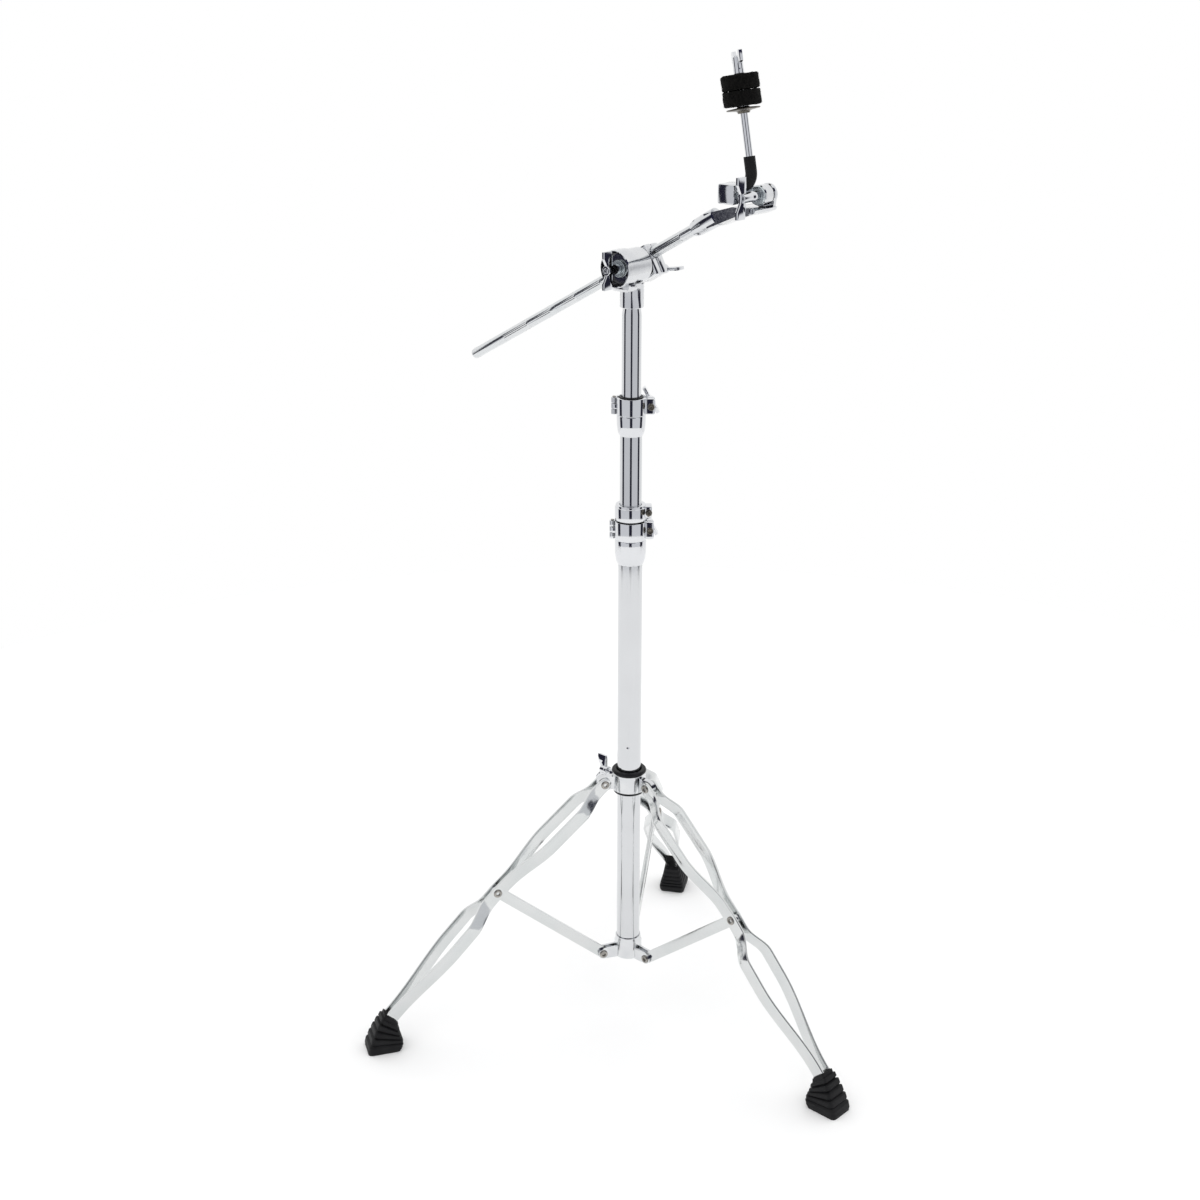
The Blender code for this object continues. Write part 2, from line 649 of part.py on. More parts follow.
def collar(name, tube_radius, inner_tube, foot_height, cup_height, band_height):
    """A cup on the outer tube whose rear half-band, with the hinged front gate, clamps a nylon bush."""
    place = column(foot_height)
    bore = tube_radius + GAP
    bush = inner_tube + BUSH_CLEARANCE
    bush_outer = bush + BUSH_WALL
    band_inner = bush_outer + GAP
    cup_outer = tube_radius + CUP_WALL
    band_outer = max(band_inner + BAND_WALL, cup_outer + 0.8 * MM)
    top = cup_height + band_height
    shelf = cup_height - 2 * MM
    middle = cup_height + band_height / 2
    profile = [
        (cup_outer, cup_height), (cup_outer - 0.3 * MM, 12 * MM), (cup_outer - 1.2 * MM, 5 * MM),
        (cup_outer - 2.4 * MM, 1.6 * MM), (bore + 0.6 * MM, 0), (bore, 0), (bore, shelf),
        (bush + 0.2 * MM, shelf), (bush + 0.2 * MM, cup_height),
    ]
    cup = turned(name + "_collar", profile, place, CHROME)
    join(cup, sector(name + "_band", band_inner, band_outer, cup_height - GAP, top, 10, 166, place))
    gate_low = cup_height + GAP
    gate = sector(name + "_clamp_gate", band_inner, band_outer, gate_low, top, 194, 350, place, CHROME)

    hinge = place @ Matrix.Translation((-(band_outer + BARREL_RADIUS * 0.55), 0, 0))
    third = band_height / 3
    low_knuckle = (cup, 1, cup_height + GAP, cup_height + third - GAP)
    high_knuckle = (cup, 1, top - third + GAP, top - 0.2 * MM)
    gate_knuckle = (gate, -1, cup_height + third + GAP, top - third - GAP)
    for obj, side, low, high in (low_knuckle, high_knuckle, gate_knuckle):
        web = box(obj.name + "_web", (4.4 * MM, 4.6 * MM, high - low - 0.4 * MM),
                  place @ Matrix.Translation((-band_outer, side * 3.2 * MM, (low + high) / 2)))
        join(obj, disc(obj.name + "_knuckle", BARREL_RADIUS, low, high, hinge, None, 16), web)

    ear_length = EAR_REACH - band_outer + 2 * MM
    bolt_x = EAR_REACH - CLAMP_BOLT_HEAD - 0.6 * MM
    bolt = frame((bolt_x, 0, foot_height + middle), (0, -1, 0), UP)
    pin_low, pin_high = cup_height - 1 * MM, top + 1 * MM
    for obj, side in ((cup, 1), (gate, -1)):
        where = (EAR_REACH - ear_length / 2, side * EAR_OFFSET, middle)
        ear = box(obj.name + "_ear", (ear_length, EAR_THICKNESS, band_height - 2 * MM),
                  place @ Matrix.Translation(where), None, 1 * MM)
        pin_hole = disc(obj.name + "_pin_hole", PIN_RADIUS + GAP, pin_low, pin_high, hinge, None, 12)
        bolt_hole = disc(obj.name + "_bolt_hole", CLAMP_BOLT_RADIUS + GAP, -12 * MM, 12 * MM, bolt, None, 16)
        cut(join(obj, ear), pin_hole, bolt_hole)

    disc(name + "_clamp_hinge_pin", PIN_RADIUS, cup_height + 0.5 * MM, top + 1.2 * MM, hinge, ZINC, 12)
    face = EAR_OFFSET + EAR_THICKNESS / 2 + GAP
    bolt_end = -face - CLAMP_NUT_BOSS + 4 * MM
    head_top = face + 2.6 * MM
    bolt_profile = [
        (0, head_top), (CLAMP_BOLT_HEAD - 0.7 * MM, head_top), (CLAMP_BOLT_HEAD, face + 1.6 * MM),
        (CLAMP_BOLT_HEAD, face), (CLAMP_BOLT_RADIUS, face), (CLAMP_BOLT_RADIUS, bolt_end), (0, bolt_end),
    ]
    turned(name + "_clamp_bolt", bolt_profile, bolt, STEEL, 16)
    nut_place = frame((bolt_x, face, foot_height + middle), (0, 1, 0), (-0.5, 0, 0.87))
    nut_name = name + "_clamp_wing_nut"
    nut = wing_bolt(nut_name, nut_place, 0, CLAMP_NUT_BOSS, 0, CLAMP_NUT_SPAN, 0, CLAMP_NUT_RADIUS)
    cut(nut, disc(name + "_nut_hole", CLAMP_BOLT_RADIUS + GAP, -2 * MM, 40 * MM, nut_place, None, 16))

    shoulder = cup_height + GAP
    rim = top + BUSH_RIM
    bush_profile = [
        (bush_outer - 0.6 * MM, rim), (bush_outer, rim - 0.6 * MM), (bush_outer, shoulder),
        (bush, shoulder), (bush, rim),
    ]
    turned(name + "_bush", bush_profile, place, NYLON)
    return foot_height + top


def memory_lock(low):
    place = column(low)
    inner = MIDDLE_RADIUS + GAP
    outer = inner + LOCK_WALL
    lock = ring("memory_lock", inner, outer, 0, LOCK_HEIGHT, place, CHROME, 24, 1 * MM)
    middle = LOCK_HEIGHT / 2 + 0.8 * MM
    half = 7.5 * MM
    boss = box("lock_boss", (9 * MM, 2 * half, LOCK_HEIGHT - 4 * MM),
               place @ Matrix.Translation((outer + LOCK_SCREW_REACH - 0.8 * MM, 0, middle)), None, 1.5 * MM)
    slot = box("lock_slot", (20 * MM, 1.6 * MM, LOCK_HEIGHT * 2),
               place @ Matrix.Translation((inner + 10 * MM, 0, middle)))
    screw_axis = frame((outer + LOCK_SCREW_REACH, -half - GAP, low + middle), (0, -1, 0), UP)
    hole = disc("lock_screw_hole", BOLT_RADIUS + GAP, -20 * MM, 4 * MM, screw_axis, None, 16)
    cut(join(lock, boss), slot, hole)
    screw = disc("memory_lock_screw", 3.9 * MM, 0, 2.2 * MM, screw_axis, STEEL, 16, 0.4 * MM)
    head = box("lock_screw_head", (5.2 * MM, 5.2 * MM, 6 * MM),
               screw_axis @ Matrix.Translation((0, 0, 4 * MM)) @ Matrix.Rotation(0.5, 4, "Z"), None, 0.4 * MM)
    join(screw, head, shaft_below("lock_screw_shaft", BOLT_RADIUS, 2 * half, screw_axis))


def column_assembly():
    """Returns the height of the foot of the tilter's sleeve."""
    tube("base_tube", BASE_RADIUS, BRACKET_PIVOT.y - 6 * MM, BASE_TOP)
    base_foot = BASE_TOP + 2 * MM + GAP - BASE_CUP_HEIGHT
    base_top = collar("base", BASE_RADIUS, MIDDLE_RADIUS, base_foot, BASE_CUP_HEIGHT, BASE_BAND_HEIGHT)
    memory_lock(base_top + BUSH_RIM + 2 * GAP)
    middle_foot = BASE_TOP + MIDDLE_EXPOSED
    middle_end = middle_foot + MIDDLE_CUP_HEIGHT - 2 * MM - GAP
    tube("middle_tube", MIDDLE_RADIUS, BASE_TOP - MIDDLE_HIDDEN, middle_end)
    middle_top = collar("middle", MIDDLE_RADIUS, UPPER_RADIUS, middle_foot, MIDDLE_CUP_HEIGHT,
                        MIDDLE_BAND_HEIGHT)
    sleeve_foot = middle_top + UPPER_EXPOSED
    tube("upper_tube", UPPER_RADIUS, middle_foot - UPPER_HIDDEN, sleeve_foot + neck_length(), NECK_RADIUS)
    return sleeve_foot


# ---------------------------------------------------------------- boom tilter

FORWARD = Vector((math.cos(BOOM_YAW), -math.sin(BOOM_YAW), 0))
TILT_AXIS = Vector((-math.sin(BOOM_YAW), -math.cos(BOOM_YAW), 0))


def boom_frame(centre):
    """X runs along the boom towards the cymbal, Z along the tilt axis towards its wing bolt."""
    along_rod = FORWARD * math.cos(BOOM_TILT) + UP * math.sin(BOOM_TILT)
    return frame(centre, TILT_AXIS, along_rod)


def tilter_base(sleeve_foot, centre):
    """The sleeve on the upper tube and the round housing in front of the boom."""
    bore = NECK_RADIUS + GAP
    outer = bore + SLEEVE_WALL
    place = column(sleeve_foot)
    base = ring("tilter_base", bore, outer, 0, SLEEVE_HEIGHT + 3 * MM, place, CHROME, 24, 0.8 * MM)
    join(base, disc("sleeve_cap", outer, SLEEVE_HEIGHT + 1.5 * MM, SLEEVE_HEIGHT + 5 * MM, place, None))
    level = frame(centre, TILT_AXIS, FORWARD)
    recess = HOUSING_FRONT - RECESS_DEPTH
    profile = [
        (RECESS_RADIUS + 0.8 * MM, HOUSING_FRONT), (DRUM_RADIUS - 0.8 * MM, HOUSING_FRONT),
        (DRUM_RADIUS, HOUSING_FRONT - 1 * MM), (DRUM_RADIUS, HOUSING_BACK),
        (BOLT_RADIUS + GAP, HOUSING_BACK), (BOLT_RADIUS + GAP, recess), (RECESS_RADIUS, recess),
    ]
    housing = turned("tilter_housing", profile, level, None, 28)
    neck_foot = -TILTER_HEIGHT + SLEEVE_HEIGHT + 2 * MM
    neck = [(-11 * MM, neck_foot), (11 * MM, neck_foot), (15 * MM, -17 * MM), (-15 * MM, -17 * MM)]
    up_in_level = level.inverted().to_3x3() @ UP
    turn = math.atan2(up_in_level.y, up_in_level.x) - 90 * DEG
    web = plate("tilter_neck", neck, 22 * MM, level @ Matrix.Rotation(turn, 4, "Z")
                @ Matrix.Translation((0, 0, 10 * MM)))
    saddle = disc("tilter_saddle", outer, neck_foot, neck_foot + 7 * MM, Matrix.Translation(centre), None)
    join(base, saddle, bevel(web, 2 * MM), housing)
    sweep = ROTOR_RADIUS + 1.2 * MM
    cut(base, disc("rotor_room", sweep, -40 * MM, HOUSING_BACK - 0.01 * MM, level, None, 28))
    return base


def tilter_rotor(centre):
    """The drum that turns on the tilt axis, with the inner jaw that holds the boom rod."""
    place = boom_frame(centre)
    back = -ROD_OFFSET + GAP / 2
    front = HOUSING_BACK - GAP
    rotor = disc("tilter_rotor", ROTOR_RADIUS, -12 * MM, front, place, CHROME, 28, 0.8 * MM)
    join(rotor, disc("rotor_neck", 14 * MM, back, -11 * MM, place, None))
    jaw_size = (JAW_WIDTH, JAW_TOP - JAW_FOOT, JAW_THICKNESS)
    jaw_middle = (0, (JAW_FOOT + JAW_TOP) / 2, back + JAW_THICKNESS / 2)
    join(rotor, box("rotor_jaw", jaw_size, place @ Matrix.Translation(jaw_middle), None, 2 * MM))
    cut(rotor, disc("tilt_bolt_hole", BOLT_RADIUS + GAP, -8 * MM, front + 5 * MM, place, None, 16))
    clamp_hole = clamp_bolt_hole("rotor_clamp_hole", centre, -ROD_OFFSET + 9 * MM)
    cut(rotor, rod_bore("rotor_rod_bore", centre), clamp_hole)
    return rotor


def rod_bore(name, centre):
    middle = boom_frame(centre) @ Vector((0, ROD_ABOVE_AXIS, -ROD_OFFSET))
    bore = frame(middle, boom_direction(), TILT_AXIS)
    return disc(name, ROD_RADIUS + ROD_CLEARANCE, -JAW_WIDTH, JAW_WIDTH, bore, None)


def clamp_bolt_hole(name, centre, front):
    place = boom_frame(centre) @ Matrix.Translation((0, -ROD_BOLT_DROP, 0))
    return disc(name, BOLT_RADIUS + GAP, -ROD_OFFSET - 30 * MM, front, place, None, 16)


def boom_direction():
    return FORWARD * math.cos(BOOM_TILT) + UP * math.sin(BOOM_TILT)


def boom_tilter(centre):
    place = boom_frame(centre)
    tilter_rotor(centre)
    thickness = JAW_THICKNESS + 1 * MM
    middle = (0, (JAW_FOOT + JAW_TOP) / 2, -ROD_OFFSET - GAP / 2 - thickness / 2)
    jaw = box("rod_clamp_jaw", (JAW_WIDTH, JAW_TOP - JAW_FOOT, thickness),
              place @ Matrix.Translation(middle), CHROME, 2.5 * MM)
    cut(jaw, rod_bore("jaw_rod_bore", centre), clamp_bolt_hole("jaw_clamp_hole", centre, 0))

    recess = HOUSING_FRONT - RECESS_DEPTH
    washer = 2 * MM
    washer_foot = recess + GAP
    ring("tilt_washer", BOLT_RADIUS + GAP, WASHER_RADIUS, washer_foot, washer_foot + washer, place, ZINC, 24,
         0.4 * MM)
    boss_foot = recess + 2 * GAP + washer
    bolt_place = place @ Matrix.Translation((0, 0, boss_foot))
    level = math.radians(90) - BOOM_TILT
    wing_bolt("tilt_wing_bolt", bolt_place, boss_foot + 6 * MM, 20 * MM, -1 * MM, WING_SPAN, level)

    outer_face = -ROD_OFFSET - GAP / 2 - thickness
    back = boom_frame(centre) @ Matrix.Translation((0, -ROD_BOLT_DROP, outer_face - GAP))
    back = back @ Matrix.Rotation(math.pi, 4, "X")
    wing_bolt("rod_wing_bolt", back, thickness + JAW_THICKNESS - 4 * MM, 14 * MM, 3 * MM, 40 * MM, 22 * DEG)


def rod_frame(centre, distance):
    """On the boom rod's own line: Z runs towards the cymbal, X along the tilt axis."""
    start = boom_frame(centre) @ Vector((0, ROD_ABOVE_AXIS, -ROD_OFFSET))
    return frame(start + boom_direction() * distance, boom_direction(), TILT_AXIS)


def boom_rod(centre):
    edge = 0.8 * MM
    return disc("boom_rod", ROD_RADIUS, -ROD_TAIL, ROD_HEAD, rod_frame(centre, 0), CHROME, 24, edge)


# ---------------------------------------------------------------- cymbal tilter

def cymbal_frame(centre):
    """At the cymbal tilter's axis: Z along that axis towards its wing, Y up, X level and forward."""
    return frame(rod_frame(centre, CYMBAL_AXIS).translation, TILT_AXIS, FORWARD)


def cymbal_tilter_body(centre):
    """A split socket on the rod's end, and an arm that passes under the holder to the rear cheek."""
    rod = rod_frame(centre, 0)
    bore = ROD_RADIUS + GAP
    outer = ROD_RADIUS + SOCKET_WALL
    end = SOCKET_START + SOCKET_LENGTH
    inner_end = ROD_HEAD + GAP
    profile = [
        (0, end), (outer + 0.6 * MM, end), (outer + 0.6 * MM, end - 14 * MM), (outer, SOCKET_START + 6 * MM),
        (outer - 1 * MM, SOCKET_START), (bore, SOCKET_START), (bore, inner_end), (0, inner_end),
    ]
    body = turned("cymbal_tilter_body", profile, rod, CHROME)
    place = cymbal_frame(centre)
    cheek_low = -CHEEK_OFFSET - CHEEK_THICKNESS
    start = place.inverted() @ (rod @ Vector((0, 0, end - 10 * MM)))
    floor = -CHEEK_RADIUS - 1.6 * MM
    inset = 0.4 * MM  # keeps joined faces out of each other's planes
    arm = [
        (start.x - 4 * MM, start.y + 7 * MM), (start.x + 1 * MM, start.y - 8 * MM),
        (-16 * MM, floor - 9 * MM), (0, floor - 6.5 * MM), (9 * MM, floor - 3 * MM),
        (11 * MM, floor + 0.4 * MM), (8 * MM, floor + 1.2 * MM), (-20 * MM, floor + 1.2 * MM),
    ]
    depth = CHEEK_OFFSET + CHEEK_THICKNESS + 8 * MM - inset
    arm_place = place @ Matrix.Translation((0, 0, cheek_low + inset + depth / 2))
    join(body, plate("cymbal_arm", arm, depth, arm_place))
    join(body, disc("cheek", CHEEK_RADIUS, cheek_low, -CHEEK_OFFSET, place, None, 24, 1 * MM))
    cheek_foot = [(-CHEEK_RADIUS + 1 * MM, -1 * MM), (-CHEEK_RADIUS + 1 * MM, floor - 1 * MM),
                  (CHEEK_RADIUS - 3 * MM, floor - 1 * MM), (CHEEK_RADIUS - 1 * MM, -1 * MM)]
    foot_place = place @ Matrix.Translation((0, 0, -CHEEK_OFFSET - CHEEK_THICKNESS / 2))
    join(body, plate("cheek_foot", cheek_foot, CHEEK_THICKNESS - 2 * inset, foot_place))
    cut(body, disc("socket_bore", bore, SOCKET_START - 5 * MM, inner_end, rod))
    cut(body, disc("cheek_hole", BOLT_RADIUS + GAP, -60 * MM, 0, place, None, 16))
    slot_place = rod @ Matrix.Translation((outer, 0, SOCKET_START + 4 * MM))
    cut(body, box("socket_slot", (2 * outer, 1.8 * MM, 24 * MM), slot_place))
    pinch = rod @ Matrix.Translation((outer * 0.5, 0, SOCKET_START + 6 * MM))
    pinch = pinch @ Matrix.Rotation(90 * DEG, 4, "X")
    cut(body, disc("socket_key_hole", 1.8 * MM, -30 * MM, 30 * MM, pinch, None, 16))
    return body


def cymbal_holder(centre):
    """The piece that turns on the cymbal tilter's axis: a drum against the cheek, and a block for the rod."""
    place = cymbal_frame(centre)
    back = -CHEEK_OFFSET + 1.2 * MM
    front = -CHEEK_OFFSET + 15 * MM
    holder = disc("cymbal_holder", CHEEK_RADIUS - 0.5 * MM, back, front, place, CHROME, 24, 1 * MM)
    block = (22 * MM, 21 * MM, 26 * MM)
    block_place = place @ Matrix.Translation((-28.5 * MM, 0.5 * MM, -4 * MM))
    join(holder, box("holder_block", block, block_place, None, 2 * MM))
    bridge = (28 * MM, 17 * MM, 10 * MM)
    bridge_place = place @ Matrix.Translation((-14 * MM, 0.5 * MM, back + 6 * MM))
    join(holder, box("holder_bridge", bridge, bridge_place, None, 1.5 * MM))
    cut(holder, disc("holder_bolt_hole", BOLT_RADIUS + GAP, -60 * MM, 20 * MM, place, None, 16))
    return holder


def cymbal_rod_points():
    """The bent rod in the cymbal tilter's frame: out of the block, through its bend, and along its lean."""
    start = Vector((-24 * MM, 3 * MM))
    first = Vector((math.cos(28 * DEG), math.sin(28 * DEG)))
    last = Vector((math.sin(CYMBAL_ROD_LEAN), math.cos(CYMBAL_ROD_LEAN)))
    corner = start + first * 27 * MM
    top = corner + last * 128 * MM
    reach = 11 * MM
    points = [start]
    for i in range(9):
        part = i / 8
        a = corner - first * reach
        b = corner + last * reach
        points.append(a * (1 - part) ** 2 + corner * 2 * part * (1 - part) + b * part ** 2)
    points.append(top)
    return points, last


def cymbal_assembly(centre):
    place = cymbal_frame(centre)
    cymbal_tilter_body(centre)
    holder = cymbal_holder(centre)
    points, last = cymbal_rod_points()
    flat = [(p.x, p.y, 0) for p in points]
    bar("cymbal_rod", flat, CYMBAL_ROD_RADIUS, place, CHROME, 4)
    cut(holder, bar("cymbal_rod_seat", flat, CYMBAL_ROD_RADIUS + GAP, place, None, 4))

    top = Vector((*points[-1], 0))
    lean = Vector((*last, 0))
    axis = frame(place @ top, place.to_3x3() @ lean, TILT_AXIS)
    sleeve_points = points[2:-1]
    sleeve_points.append(sleeve_points[-1] + last * 15 * MM)
    sleeve = bar("rod_sleeve", [(p.x, p.y, 0) for p in sleeve_points], SLEEVE_RADIUS, place, RUBBER, 4)
    cut(sleeve, bar("sleeve_bore", flat, CYMBAL_ROD_RADIUS + GAP, place, None, 4))
    seat_low = -58 * MM
    seat_top = seat_low + 7 * MM
    bore = CYMBAL_ROD_RADIUS + GAP
    lip = CYMBAL_ROD_RADIUS + 2.6 * MM
    seat = [
        (lip, seat_top), (lip, seat_low + 6 * MM), (SEAT_RADIUS, seat_low + 5 * MM),
        (SEAT_RADIUS, seat_low + 3.6 * MM), (7.5 * MM, seat_low + 2.6 * MM), (6.5 * MM, seat_low),
        (bore, seat_low), (bore, seat_top),
    ]
    turned("cymbal_seat", seat, axis, ZINC)
    felt_low = seat_top + GAP
    for name in ("lower_felt", "upper_felt"):
        ring(name, bore, FELT_RADIUS, felt_low, felt_low + FELT_HEIGHT, axis, FELT, 24, 1.5 * MM)
        felt_low += FELT_HEIGHT + GAP
    nut_place = axis @ Matrix.Translation((0, 0, felt_low)) @ Matrix.Rotation(48 * DEG, 4, "Z")
    nut = wing_bolt("cymbal_wing_nut", nut_place, 0, 17 * MM, 1 * MM, 44 * MM)
    cut(nut, disc("cymbal_nut_hole", CYMBAL_ROD_RADIUS + GAP, -2 * MM, 30 * MM, nut_place, None, 16))

    face = -CHEEK_OFFSET + 15 * MM + GAP
    washer_top = face + 2.5 * MM
    ring("cymbal_tilt_washer", BOLT_RADIUS + GAP, WASHER_RADIUS, face, washer_top, place, ZINC, 24, 0.4 * MM)
    boss_foot = washer_top + GAP
    bolt_place = place @ Matrix.Translation((0, 0, boss_foot))
    shaft = boss_foot + CHEEK_OFFSET + CHEEK_THICKNESS + 4 * MM
    wing_bolt("cymbal_tilt_wing_bolt", bolt_place, shaft, 27 * MM, 2 * MM, 44 * MM, 90 * DEG)
    cap_place = place @ Matrix.Translation((0, 0, -CHEEK_OFFSET - CHEEK_THICKNESS - GAP))
    cap = disc("cymbal_tilt_nut", 5 * MM, -4.5 * MM, 0, cap_place, ZINC, 16, 0.8 * MM)
    cut(cap, disc("tilt_nut_hole", BOLT_RADIUS + GAP, -10 * MM, 10 * MM, cap_place, None, 16))


def main():
    tripod()
    sleeve_foot = column_assembly()
    centre = Vector((0, 0, sleeve_foot + TILTER_HEIGHT))
    tilter_base(sleeve_foot, centre)
    boom_tilter(centre)
    boom_rod(centre)
    cymbal_assembly(centre)


main()
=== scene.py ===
"""Looks of a cymbal boom stand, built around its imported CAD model. Metres, +Z up, the column on Z.

The legs are named left, right and rear as seen from -Y, where the camera stands.
"""

import json
import math
import random

import bmesh
import bpy
from mathutils import Matrix, Vector, noise


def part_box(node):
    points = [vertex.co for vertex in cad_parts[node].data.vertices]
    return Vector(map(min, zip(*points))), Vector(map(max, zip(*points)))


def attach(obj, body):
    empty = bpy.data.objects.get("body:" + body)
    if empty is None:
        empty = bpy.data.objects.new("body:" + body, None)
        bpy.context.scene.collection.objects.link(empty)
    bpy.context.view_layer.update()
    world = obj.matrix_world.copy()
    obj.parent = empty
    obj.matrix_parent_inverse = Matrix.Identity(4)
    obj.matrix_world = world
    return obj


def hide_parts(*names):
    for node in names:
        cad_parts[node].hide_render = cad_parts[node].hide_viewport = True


MM = 0.001
DEG = math.pi / 180
UP = Vector((0, 0, 1))

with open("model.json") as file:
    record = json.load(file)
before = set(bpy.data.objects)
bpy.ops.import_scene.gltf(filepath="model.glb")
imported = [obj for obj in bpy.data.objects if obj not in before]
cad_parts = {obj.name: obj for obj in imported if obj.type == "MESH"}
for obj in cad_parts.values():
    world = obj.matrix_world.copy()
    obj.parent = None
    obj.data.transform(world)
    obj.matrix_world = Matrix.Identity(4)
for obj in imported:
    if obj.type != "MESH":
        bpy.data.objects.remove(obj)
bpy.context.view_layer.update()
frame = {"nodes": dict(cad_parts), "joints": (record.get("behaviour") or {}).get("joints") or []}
JOINTS = {joint["name"]: joint for joint in frame["joints"]}


def joint_at(name):
    return Vector(JOINTS[name]["pos_m"])


def joint_axis(name):
    return Vector(JOINTS[name]["axis"]).normalized()


# ---------------------------------------------------------------- sizes that the frame doesn't state

GAP = 0.3 * MM  # between faces that touch
TUBE_WALL = 1.2 * MM
TUBE_STEPS = 144  # round a tube
NECK_RADIUS = 9.9 * MM
BOLT_RADIUS = 3 * MM
BOSS_RADIUS = 5.6 * MM
WING_LENGTH = 14 * MM
WING_THICKNESS = 3.6 * MM
THREAD_PITCH = 1 * MM

CUP_HEIGHTS = {"base": 30.5 * MM, "middle": 24.5 * MM}
CUP_WALL = 4 * MM
BAND_WALL = 3.2 * MM
BUSH_WALL = 2.6 * MM
EAR_REACH = 27.2 * MM
EAR_THICKNESS = 5.5 * MM
EAR_OFFSET = 4.2 * MM
BARREL_RADIUS = 3.6 * MM
PIN_RADIUS = 1.6 * MM
CLAMP_BOLT_HEAD = 4 * MM
CLAMP_NUT_RADIUS = 4.4 * MM
CLAMP_NUT_BOSS = 22 * MM

STRIP_WIDTH = 16 * MM
STRIP_THICKNESS = 3 * MM
UPPER_BOW = 19.5 * MM
LOWER_BOW = 20.5 * MM
FOOT_SPREAD = 5.6 * MM
BRACE_WIDTH = 13.5 * MM
BRACE_THICKNESS = 5 * MM
KNEE_GAP = 0.5 * MM
HUB_EAR_THICKNESS = 8 * MM
RIVET_RADIUS = 3 * MM
RIVET_HEAD = 5.2 * MM
CLEVIS_WALL = 3 * MM
FOOT_TOP = Vector((307.7, 42.3)) * MM  # radius and height
FOOT_SOLE = Vector((319, 0)) * MM
FOOT_LENGTH = 43 * MM
FOOT_WIDTH = 36 * MM
FOOT_RIBS = 4
STRIP_IN_FOOT = 13 * MM

ROD_RADIUS = 6.35 * MM
FELT_RADIUS = 20 * MM
FELT_HEIGHT = 16 * MM
CYMBAL_ROD_RADIUS = 4 * MM
SLEEVE_RADIUS = 6.2 * MM


# ---------------------------------------------------------------- materials

def node(tree, kind, **inputs):
    """A new node with some of its inputs set by name."""
    made = tree.nodes.new("ShaderNode" + kind)
    for name, value in inputs.items():
        made.inputs[name.replace("_", " ")].default_value = value
    return made


def grain(tree, scale, detail=4.0, stretch=(1, 1, 1)):
    """Noise in the object's own space, stretched along an axis where the stretch is under 1."""
    coords = node(tree, "TexCoord")
    mapping = node(tree, "Mapping", Scale=stretch)
    made = node(tree, "TexNoise", Scale=scale, Detail=detail)
    tree.links.new(coords.outputs["Object"], mapping.inputs["Vector"])
    tree.links.new(mapping.outputs["Vector"], made.inputs["Vector"])
    return made.outputs["Fac"]


def spread(tree, value, low, high, start=0.3, end=0.7):
    """The value's range from start to end, drawn out to low and high."""
    made = node(tree, "MapRange")
    made.inputs["From Min"].default_value = start
    made.inputs["From Max"].default_value = end
    made.inputs["To Min"].default_value = low
    made.inputs["To Max"].default_value = high
    tree.links.new(value, made.inputs["Value"])
    return made.outputs["Result"]


def ramp(tree, value, *stops):
    made = node(tree, "ValToRGB")
    elements = made.color_ramp.elements
    while len(elements) < len(stops):
        elements.new(0.5)
    for element, (position, colour) in zip(elements, stops):
        element.position = position
        element.color = (*colour, 1)
    tree.links.new(value, made.inputs["Fac"])
    return made.outputs["Color"]


def surface(name, colours, roughness, metallic, wander=25.0, fine=900.0, bump=0.05, depth=0.1 * MM,
            stretch=(1, 1, 1), specular=0.5):
    """A finish whose colour wanders between two tones, with fine grain in its gloss and relief."""
    made = bpy.data.materials.new(name)
    made.use_nodes = True
    tree = made.node_tree
    shader = tree.nodes["Principled BSDF"]
    shader.inputs["Metallic"].default_value = metallic
    shader.inputs["Specular IOR Level"].default_value = specular
    wandering = grain(tree, wander, 3.0)
    fine_grain = grain(tree, fine, 5.0, stretch)
    tree.links.new(ramp(tree, wandering, (0.35, colours[0]), (0.65, colours[1])), shader.inputs["Base Color"])
    tree.links.new(spread(tree, fine_grain, *roughness), shader.inputs["Roughness"])
    relief = node(tree, "Bump", Strength=bump, Distance=depth)
    tree.links.new(fine_grain, relief.inputs["Height"])
    tree.links.new(relief.outputs["Normal"], shader.inputs["Normal"])
    return made


def felt_surface():
    """Pressed wool: matt, nearly black, with a faint sheen at grazing angles."""
    made = surface("felt", ((0.002, 0.002, 0.002), (0.006, 0.0055, 0.005)), (0.9, 1.0), 0.0,
                   wander=400.0, fine=2500.0, bump=0.9, depth=0.6 * MM, specular=0.1)
    shader = made.node_tree.nodes["Principled BSDF"]
    shader.inputs["Sheen Weight"].default_value = 0.02
    shader.inputs["Sheen Roughness"].default_value = 0.5
    return made


